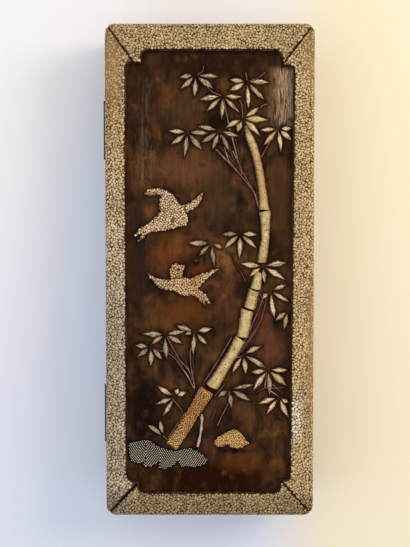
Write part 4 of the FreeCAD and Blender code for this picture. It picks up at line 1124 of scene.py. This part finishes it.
CULM_HEIGHT = 1.9
CULM_HALF_WIDTH = 4.0
CULM_GROWTH = 0.5
CULM_BOW = 0.6
CULM_FLARE = 0.06
CULM_PIECES = 6
FOOT_GROWTH = 1.3
END_SHARPNESS = 10  # the bow and the flare keep this close to the ends
FIBRE_PITCH = (1.6, 0.25)  # across the culm and along it
FIBRE_HEIGHT = 0.06
PIT_PITCH = 1.3
PIT_RARITY = 0.42
PIT_DEPTH = 0.5
PIT_DRAW = 5


def make_culm(finish):
    """Bone lengths of the culm, with long grain, pores and a swelling at each joint."""
    made = []
    for number in range(1, CULM_PIECES + 1):
        node = f"culm_{number}"
        piece = rounded_copy(node, node + "_bone", INLAY_VOXEL, 2)

        def grain(at):
            fibre = noise.noise(Vector((at.x * FIBRE_PITCH[0], at.y * FIBRE_PITCH[1], number)))
            pit = noise.noise(Vector((at.x * PIT_PITCH, at.y * PIT_PITCH, number + PIT_DRAW)))
            return FIBRE_HEIGHT * fibre - PIT_DEPTH * max(0.0, pit - PIT_RARITY)

        carve(piece, grain)
        lengthened(piece, CULM_GROWTH, CULM_BOW, CULM_FLARE)
        store_rise(piece, CULM_HEIGHT)
        made.append(settle(piece, "lid", "bone", finish["bone"], node))
    return made


LEVEL = 0.05  # heights closer than this are the same


def leaf_parts():
    """Foot and tip, in plan, of every leaf in the node of leaves."""
    whole = merged("bamboo_leaves")
    unseen = set(whole.verts)
    while unseen:
        stack = [unseen.pop()]
        island = []
        while stack:
            vertex = stack.pop()
            island.append(vertex)
            for edge in vertex.link_edges:
                other = edge.other_vert(vertex)
                if other in unseen:
                    unseen.remove(other)
                    stack.append(other)
        top = max(vertex.co.z for vertex in island)
        ribs = [vertex.co.xy for vertex in island if vertex.co.z > top - LEVEL * MM]
        low = [vertex.co.xy for vertex in island if vertex.co.z < PANEL_TOP + LEVEL * MM]
        first, second = max(((a, b) for a in low for b in low), key=lambda pair: (pair[0] - pair[1]).length)
        reach_first = min((first - rib).length for rib in ribs)
        reach_second = min((second - rib).length for rib in ribs)
        yield (first, second) if reach_first < reach_second else (second, first)
    whole.free()


LEAF_DRAW = 21
LEAF_STATIONS = 16
LEAF_COLUMNS = 10
LEAF_HALF_WIDTH = 1.55
LEAF_EDGE = 0.34  # height of its edge over the lacquer
LEAF_RIDGE = 1.0  # and of its middle
LEAF_SWEEP = 0.35  # the most that a leaf bends sideways
LEAF_WIDEST = (0.72, 1)  # how near to its foot a leaf is widest
LEAF_BREADTHS = (0.8, 1.08)
SHORT_LEAF = (0.72, 36)  # breadth of the shortest leaf, and how slowly longer ones widen
LEAF_FOOT = 0.22  # least half width towards the foot
LEAF_TIP = 0.1  # and towards the tip
LEAF_SLIMNESS = 1.25  # of its outline towards both ends
LEAF_ROUNDNESS = 1.7  # of its section
LEAF_WAVE = 0.3
LEAF_JAG = 0.16
LEAF_ROUGHNESS = 0.1
VEIN_HEIGHT = 0.05
VEIN_PITCH = 12
RIB_DEPTH = 0.16
RIB_WIDTH = 0.16  # as a share of half the leaf's width


def make_leaves(finish):
    """Carved leaves: each a long chip with a midrib, veins, a slim tip and a bend of its own."""
    draw = random.Random(LEAF_DRAW)
    whole = bmesh.new()
    layers = {"crest": whole.verts.layers.float.new("crest"),
              "tone": whole.verts.layers.float.new("leaf_tone"),
              "grain": whole.verts.layers.float_vector.new("grain")}
    for foot, tip in sorted(leaf_parts(), key=lambda ends: (ends[0].y, ends[0].x)):
        add_leaf(whole, layers, foot / MM, tip / MM, draw)
    bmesh.ops.recalc_face_normals(whole, faces=whole.faces)
    piece = new_piece("carved_leaves", to_mesh(whole, "carved_leaves"))
    return settle(piece, "lid", "leaf_shell", finish["leaf_shell"], "bamboo_leaves")


def add_leaf(whole, layers, foot, tip, draw):
    run = tip - foot
    length = run.length
    along = run / length
    across = Vector((-along.y, along.x))
    sweep = draw.uniform(-LEAF_SWEEP, LEAF_SWEEP)
    widest = draw.uniform(*LEAF_WIDEST)
    least_breadth, widening = SHORT_LEAF
    broad = LEAF_HALF_WIDTH * draw.uniform(*LEAF_BREADTHS) * min(1.0, least_breadth + length / widening)
    phase = draw.uniform(0, 10)
    tone = draw.random()
    rows = []
    for station in range(LEAF_STATIONS + 1):
        share = station / LEAF_STATIONS
        half = broad * max(math.sin(math.pi * min(share, 0.999) ** widest), 0.0) ** LEAF_SLIMNESS
        half *= 1 + LEAF_WAVE * noise.noise(Vector((share * 6, phase, 0)))
        half = max(half, LEAF_FOOT if share < 0.5 else LEAF_TIP)
        middle = foot + run * share + across * sweep * math.sin(math.pi * share)
        row = []
        for column in range(LEAF_COLUMNS + 1):
            side = 2 * column / LEAF_COLUMNS - 1
            swell = (1 - abs(side) ** LEAF_ROUNDNESS) * math.sin(math.pi * (0.08 + 0.88 * share)) ** 0.5
            vein = VEIN_HEIGHT * math.cos(side * VEIN_PITCH) * swell
            rib = -RIB_DEPTH * math.exp(-(side / RIB_WIDTH) ** 2) * swell
            rough = LEAF_ROUGHNESS * noise.noise(Vector((share * 12, side * 2.6, phase)))
            height = PANEL_TOP / MM + LEAF_EDGE + (LEAF_RIDGE - LEAF_EDGE) * swell + vein + rib + rough
            jag = 1 + LEAF_JAG * noise.noise(Vector((share * 14, phase + 3, side)))
            vertex = corner(whole, middle + across * side * half * jag, height)
            # The crest darkens the edges and the midrib groove: painted shade by height.
            vertex[layers["crest"]] = swell + 2 * rib + 2 * rough
            vertex[layers["tone"]] = tone
            vertex[layers["grain"]] = Vector((share * length, side * half, phase * 7))
            row.append(vertex)
        left, right = (corner(whole, middle + across * half * side, PANEL_TOP / MM - INLAY_SET)
                       for side in (-1, 1))
        rows.append([left, *row, right])
    tube(whole, rows)


# Hair-thin twigs beside the larger ones, point by point in plan. A third number is a height.
FINE_TWIGS = (
    ((28, -15.1), (25.8, -22.5), (22.3, -29.8), (17.9, -36.7), (15.7, -39.8)),
    ((26.3, -15.1), (23.8, -23), (20.6, -30.3), (16.7, -37.6)),
    ((24.9, -16.1), (22.1, -23.9), (19.6, -29.8), (16.4, -37.1)),
    ((23.6, -18.1), (21.9, -23), (19.6, -28.4)),
    ((25.3, -24.4), (22.8, -29.8), (18.9, -35.2)),
    ((12.6, 64.6), (14.5, 55.8), (15.5, 49)),
    ((8.2, 63.4), (11.4, 56), (15, 49.4)),
    ((4.8, 61.4), (10.6, 54.8), (15.6, 47.6)),
    ((18.2, 48.9), (20.6, 41.6), (23.8, 31.4)),
    ((22, 44.6), (23, 38), (23.8, 32.6)),
    ((-13.2, -34.6), (-11.8, -44), (-8.4, -54)),
    ((-6.2, -33), (-8.4, -42.8), (-8, -51)),
    ((-25.4, -33.4), (-19, -39), (-13, -46.6)),
    ((-16.4, -64), (-12.4, -70.4), (-10, -73.4)),
    ((5.4, -61), (3, -68), (1, -73)),
    ((36, -60.4), (31.6, -56), (27.4, -54)),
    ((22.5, -59.9), (24.6, -58.4), (27.6, -57)),
    ((29.4, -58), (33, -57.2), (36.6, -56.8)),
    ((18.6, -11, 0.3), (20.2, -10.5, 1.75), (21.9, -10, 2), (23.6, -9.5, 1.75), (25, -9.2, 0.7),
     (26.6, -11, 0.15), (27.8, -14.4, 0)),
    ((18.6, -12.4, 0.8), (20.8, -11.6, 1.95), (22.6, -10.9, 1.85), (24.2, -10.8, 1), (25.6, -12.4, 0.15),
     (26.6, -15.6, 0)),
    ((20.6, -9.4, 1.95), (22.8, -9.2, 1.85), (24.8, -10, 0.8), (25.8, -13, 0.1), (25.2, -17.4, 0)),
    ((22, -11.8, 1.95), (23.6, -12.6, 1.3), (24.8, -14.6, 0.15), (24.6, -18.6, 0)),
)
TWIG_HEIGHT = 0.7
TWIG_VOXEL = 0.12
TWIG_UNEVENNESS = (0.08, 0.5)  # height and pitch
SHOOT_UNEVENNESS = (0.12, 1.4)
FINE_TWIG_RADIUS = 0.17
FINE_TWIG_FOOT = 0.45  # its radius at the foot, as a share
FINE_TWIG_SWAY = 0.35
FINE_TWIG_LIFT = 0.6  # height of its middle over the lacquer, in radii
FINE_TWIG_PIECES = 5  # straight bits between two points of its run
FINE_TWIG_SIDES = 5


def add_fine_twig(whole, rise, points, number):
    """A hair-thin twig lying on the lacquer or over the culm, a little crooked."""
    points = [Vector(point).to_3d() for point in points]
    places = []
    for first, second in zip(points, points[1:]):
        side = Vector((first.y - second.y, second.x - first.x, 0)).normalized()
        for piece in range(FINE_TWIG_PIECES):
            place = first.lerp(second, piece / FINE_TWIG_PIECES)
            sway = noise.noise(Vector((place.x, place.y, number)) * 0.5)
            places.append(place + side * FINE_TWIG_SWAY * sway)
    places.append(points[-1])
    rings = []
    for index, place in enumerate(places):
        run = places[min(index + 1, len(places) - 1)] - places[max(index - 1, 0)]
        side = Vector((-run.y, run.x, 0)).normalized()
        radius = FINE_TWIG_RADIUS * (FINE_TWIG_FOOT + (1 - FINE_TWIG_FOOT) * index / len(places))
        ring = []
        for turn in turns(FINE_TWIG_SIDES):
            height = PANEL_TOP / MM + place.z + radius * (FINE_TWIG_LIFT + math.sin(turn))
            vertex = corner(whole, place + side * radius * math.cos(turn), height)
            # The top of a fine twig is kept lighter and its underside darker: painted shade.
            vertex[rise] = 0.6 + 0.4 * math.sin(turn)
            ring.append(vertex)
        rings.append(ring)
    tube(whole, rings)


def make_twigs(finish):
    """Twigs and the young shoot, rounded from their ridges, with hair-thin twigs beside them."""
    twigs = rounded_copy("bamboo_twigs", "carved_twigs", TWIG_VOXEL, 6)
    height, pitch = TWIG_UNEVENNESS
    carve(twigs, lambda at: height * (noise.noise(at * pitch) - 0.5))
    store_rise(twigs, TWIG_HEIGHT)
    whole = bmesh.new()
    whole.from_mesh(twigs.data)
    rise = whole.verts.layers.float["rise"]
    for number, points in enumerate(FINE_TWIGS):
        add_fine_twig(whole, rise, points, number)
    bmesh.ops.recalc_face_normals(whole, faces=whole.faces)
    twigs.data = to_mesh(whole, "carved_twigs")
    shoot = rounded_copy("young_shoot", "carved_shoot", INLAY_VOXEL, 3)
    height, pitch = SHOOT_UNEVENNESS
    carve(shoot, lambda at: height * noise.noise(at * pitch))
    return [settle(twigs, "lid", "twig_lacquer", finish["twig_lacquer"], "bamboo_twigs"),
            settle(shoot, "lid", "leaf_shell", finish["shoot_shell"], "young_shoot")]


ROCK_HATCH = 0.92  # pitch of the fine slanting rows on the rocks
ROCK_REACH = 20  # how far the rows run from the middle of a lobe
# Lobes of the rock bank: where each ends along X, and the slant of its rows in degrees.
ROCK_LOBES = ((-31.5, 128), (-24.3, 52), (-15, 125), (0, 55))
ROCK_VOXEL = 0.24
SCALE_SIZES = {"Length": 0.52 * MM, "Width": 0.28 * MM, "Height": 0.25 * MM}
SCALE_SET = 0.04  # a scale is set this far into the rock
SCALE_SEED = 4
SCALE_FLOOR = 0.3  # no scale stands lower over the lacquer
SCALE_STEEPEST = 0.35
ABOVE_ALL = 60  # a height over the whole box


def hatch_tree():
    """Small pointed scales standing on the points that were set on the rocks."""
    g = Strewing("rock_hatch", Nodule="Object", Slant="Float", Length="Float", Width="Float",
                 Height="Float", Finish="Material")
    points = g.step("GeometryNodeMeshToPoints", {"Mesh": g.given["Geometry"]})
    scale = g.xyz(X=g.given["Length"], Y=g.given["Width"], Z=g.given["Height"])
    scales = g.stand(points, "Nodule", scale, Rotation=g.xyz(Z=g.given["Slant"]))
    return g.result(g.toned(scales, 0.0, 1.0, SCALE_SEED))


def make_rocks(finish):
    """Grey-white scales in slanting rows over black rocks, each lobe with a slant of its own."""
    ground = rounded_copy("rock_bank", "rock_ground", ROCK_VOXEL, 5)
    surface = BVHTree.FromPolygons([vertex.co.copy() for vertex in ground.data.vertices],
                                   [tuple(polygon.vertices) for polygon in ground.data.polygons])
    low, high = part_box("rock_bank")
    tree = hatch_tree()
    shape = nodule(*ROCK_SCALE)
    start = low.x / MM - 1
    reach = int(ROCK_REACH / ROCK_HATCH)
    for number, (end, slant) in enumerate(ROCK_LOBES, 1):
        whole = bmesh.new()
        along = Vector((math.cos(math.radians(slant)), math.sin(math.radians(slant))))
        across = Vector((-along.y, along.x))
        centre = Vector(((start + end) / 2, (low.y + high.y) / 2 / MM))
        for row in range(-reach, reach + 1):
            for step in range(-reach, reach + 1):
                place = centre + across * row * ROCK_HATCH + along * (step + 0.5 * (row % 2)) * ROCK_HATCH
                if not start <= place.x < end:
                    continue
                above = Vector((place.x, place.y, ABOVE_ALL)) * MM
                hit, normal = surface.ray_cast(above, Vector((0, 0, -1)))[:2]
                if hit and normal.z > SCALE_STEEPEST and hit.z > PANEL_TOP + SCALE_FLOOR * MM:
                    whole.verts.new(hit - normal * SCALE_SET * MM)
        values = {**SCALE_SIZES, "Nodule": shape, "Slant": math.radians(slant)}
        mesh = to_mesh(whole, "rock_points")
        grow(tree, mesh, f"rock_scales_{number}", values, "lid", finish, "rock_grey")
        start = end
    bpy.data.objects.remove(shape)
    return settle(ground, "lid", "rock_grey", finish["rock_ground"], "rock_bank")


# ---- lacquer panel
PANEL_STEP = 1.0  # mesh of the panel, in millimetres
# Darkness of the lacquer at the inlay, partly built-up lacquer and partly painted shade, and how far it
# reaches: close by, and farther off.
HALO_AND_SHADE_CLOSE = (0.6, 1)
HALO_AND_SHADE_WIDE = (0.34, 4)


def make_panel(finish, inlay):
    """The sunken panel, meshed finely so that the lacquer darkens towards the inlay, partly as built-up
    lacquer and partly as painted shade.
    """
    whole = merged("lid_panel")
    for axis in range(2):
        low, high = PANEL_LOW[axis], PANEL_HIGH[axis]
        normal = Vector((axis == 0, axis == 1, 0))
        count = round((high - low) / MM / PANEL_STEP)
        for index in range(1, count):
            cut = normal * (low + (high - low) * index / count)
            geometry = whole.verts[:] + whole.edges[:] + whole.faces[:]
            bmesh.ops.bisect_plane(whole, geom=geometry, plane_co=cut, plane_no=normal)
    piece = new_piece("lacquer_panel", to_mesh(whole, "lacquer_panel", False))
    places = [vertex.co.xy for other in inlay for vertex in other.data.vertices]
    tree = KDTree(len(places))
    for index, place in enumerate(places):
        tree.insert((place.x, place.y, 0), index)
    tree.balance()
    (close, close_reach), (wide, wide_reach) = HALO_AND_SHADE_CLOSE, HALO_AND_SHADE_WIDE
    values = []
    for vertex in piece.data.vertices:
        away = tree.find((vertex.co.x, vertex.co.y, 0))[2] / MM
        values.append(close * math.exp(-(away / close_reach) ** 2) + wide * math.exp(-away / wide_reach))
    keep(piece, "inlay_halo_and_shade", values)
    return settle(piece, "lid", "panel_lacquer", finish["panel_lacquer"], "lid_panel")


# Nodes whose finish isn't that of their slot, by the start of their names.
OWN_FINISHES = {"lid_rail": "rail_wood", "panel_lip": "lip_lacquer", "panel_stud": "panel_stud"}


def paint_nodes(finish):
    """Carry the CAD nodes over with the finish of their slot."""
    for node in NODES.values():
        chosen = node.data.materials[0].name.split(".")[0] if node.data.materials else "wood"
        if chosen == "ray_skin":
            chosen = "ray_skin_ground"
        for start, own in OWN_FINISHES.items():
            if node.name.startswith(start):
                chosen = own
        for slot in node.material_slots:
            slot.material = finish[chosen]


def write_sizes():
    sizes = [[list(end) for end in bounds] for bounds in (CAD_BOUNDS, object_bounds())]


finish = make_finishes()
make_camera()
make_light()
make_floor()
paint_nodes(finish)
granules = granule_tree()
shapes = {"Nodule": nodule(*LARGE_NODULE), "Grain": nodule(*SMALL_NODULE)}
make_skins(finish, granules, shapes)
make_seam_filler(finish)
inlay = make_granular_inlay(finish, granules, shapes) + make_culm(finish)
for shape in shapes.values():
    bpy.data.objects.remove(shape)
inlay += [make_leaves(finish), *make_twigs(finish), make_rocks(finish)]
make_panel(finish, inlay)
make_tufts(finish)
write_sizes()
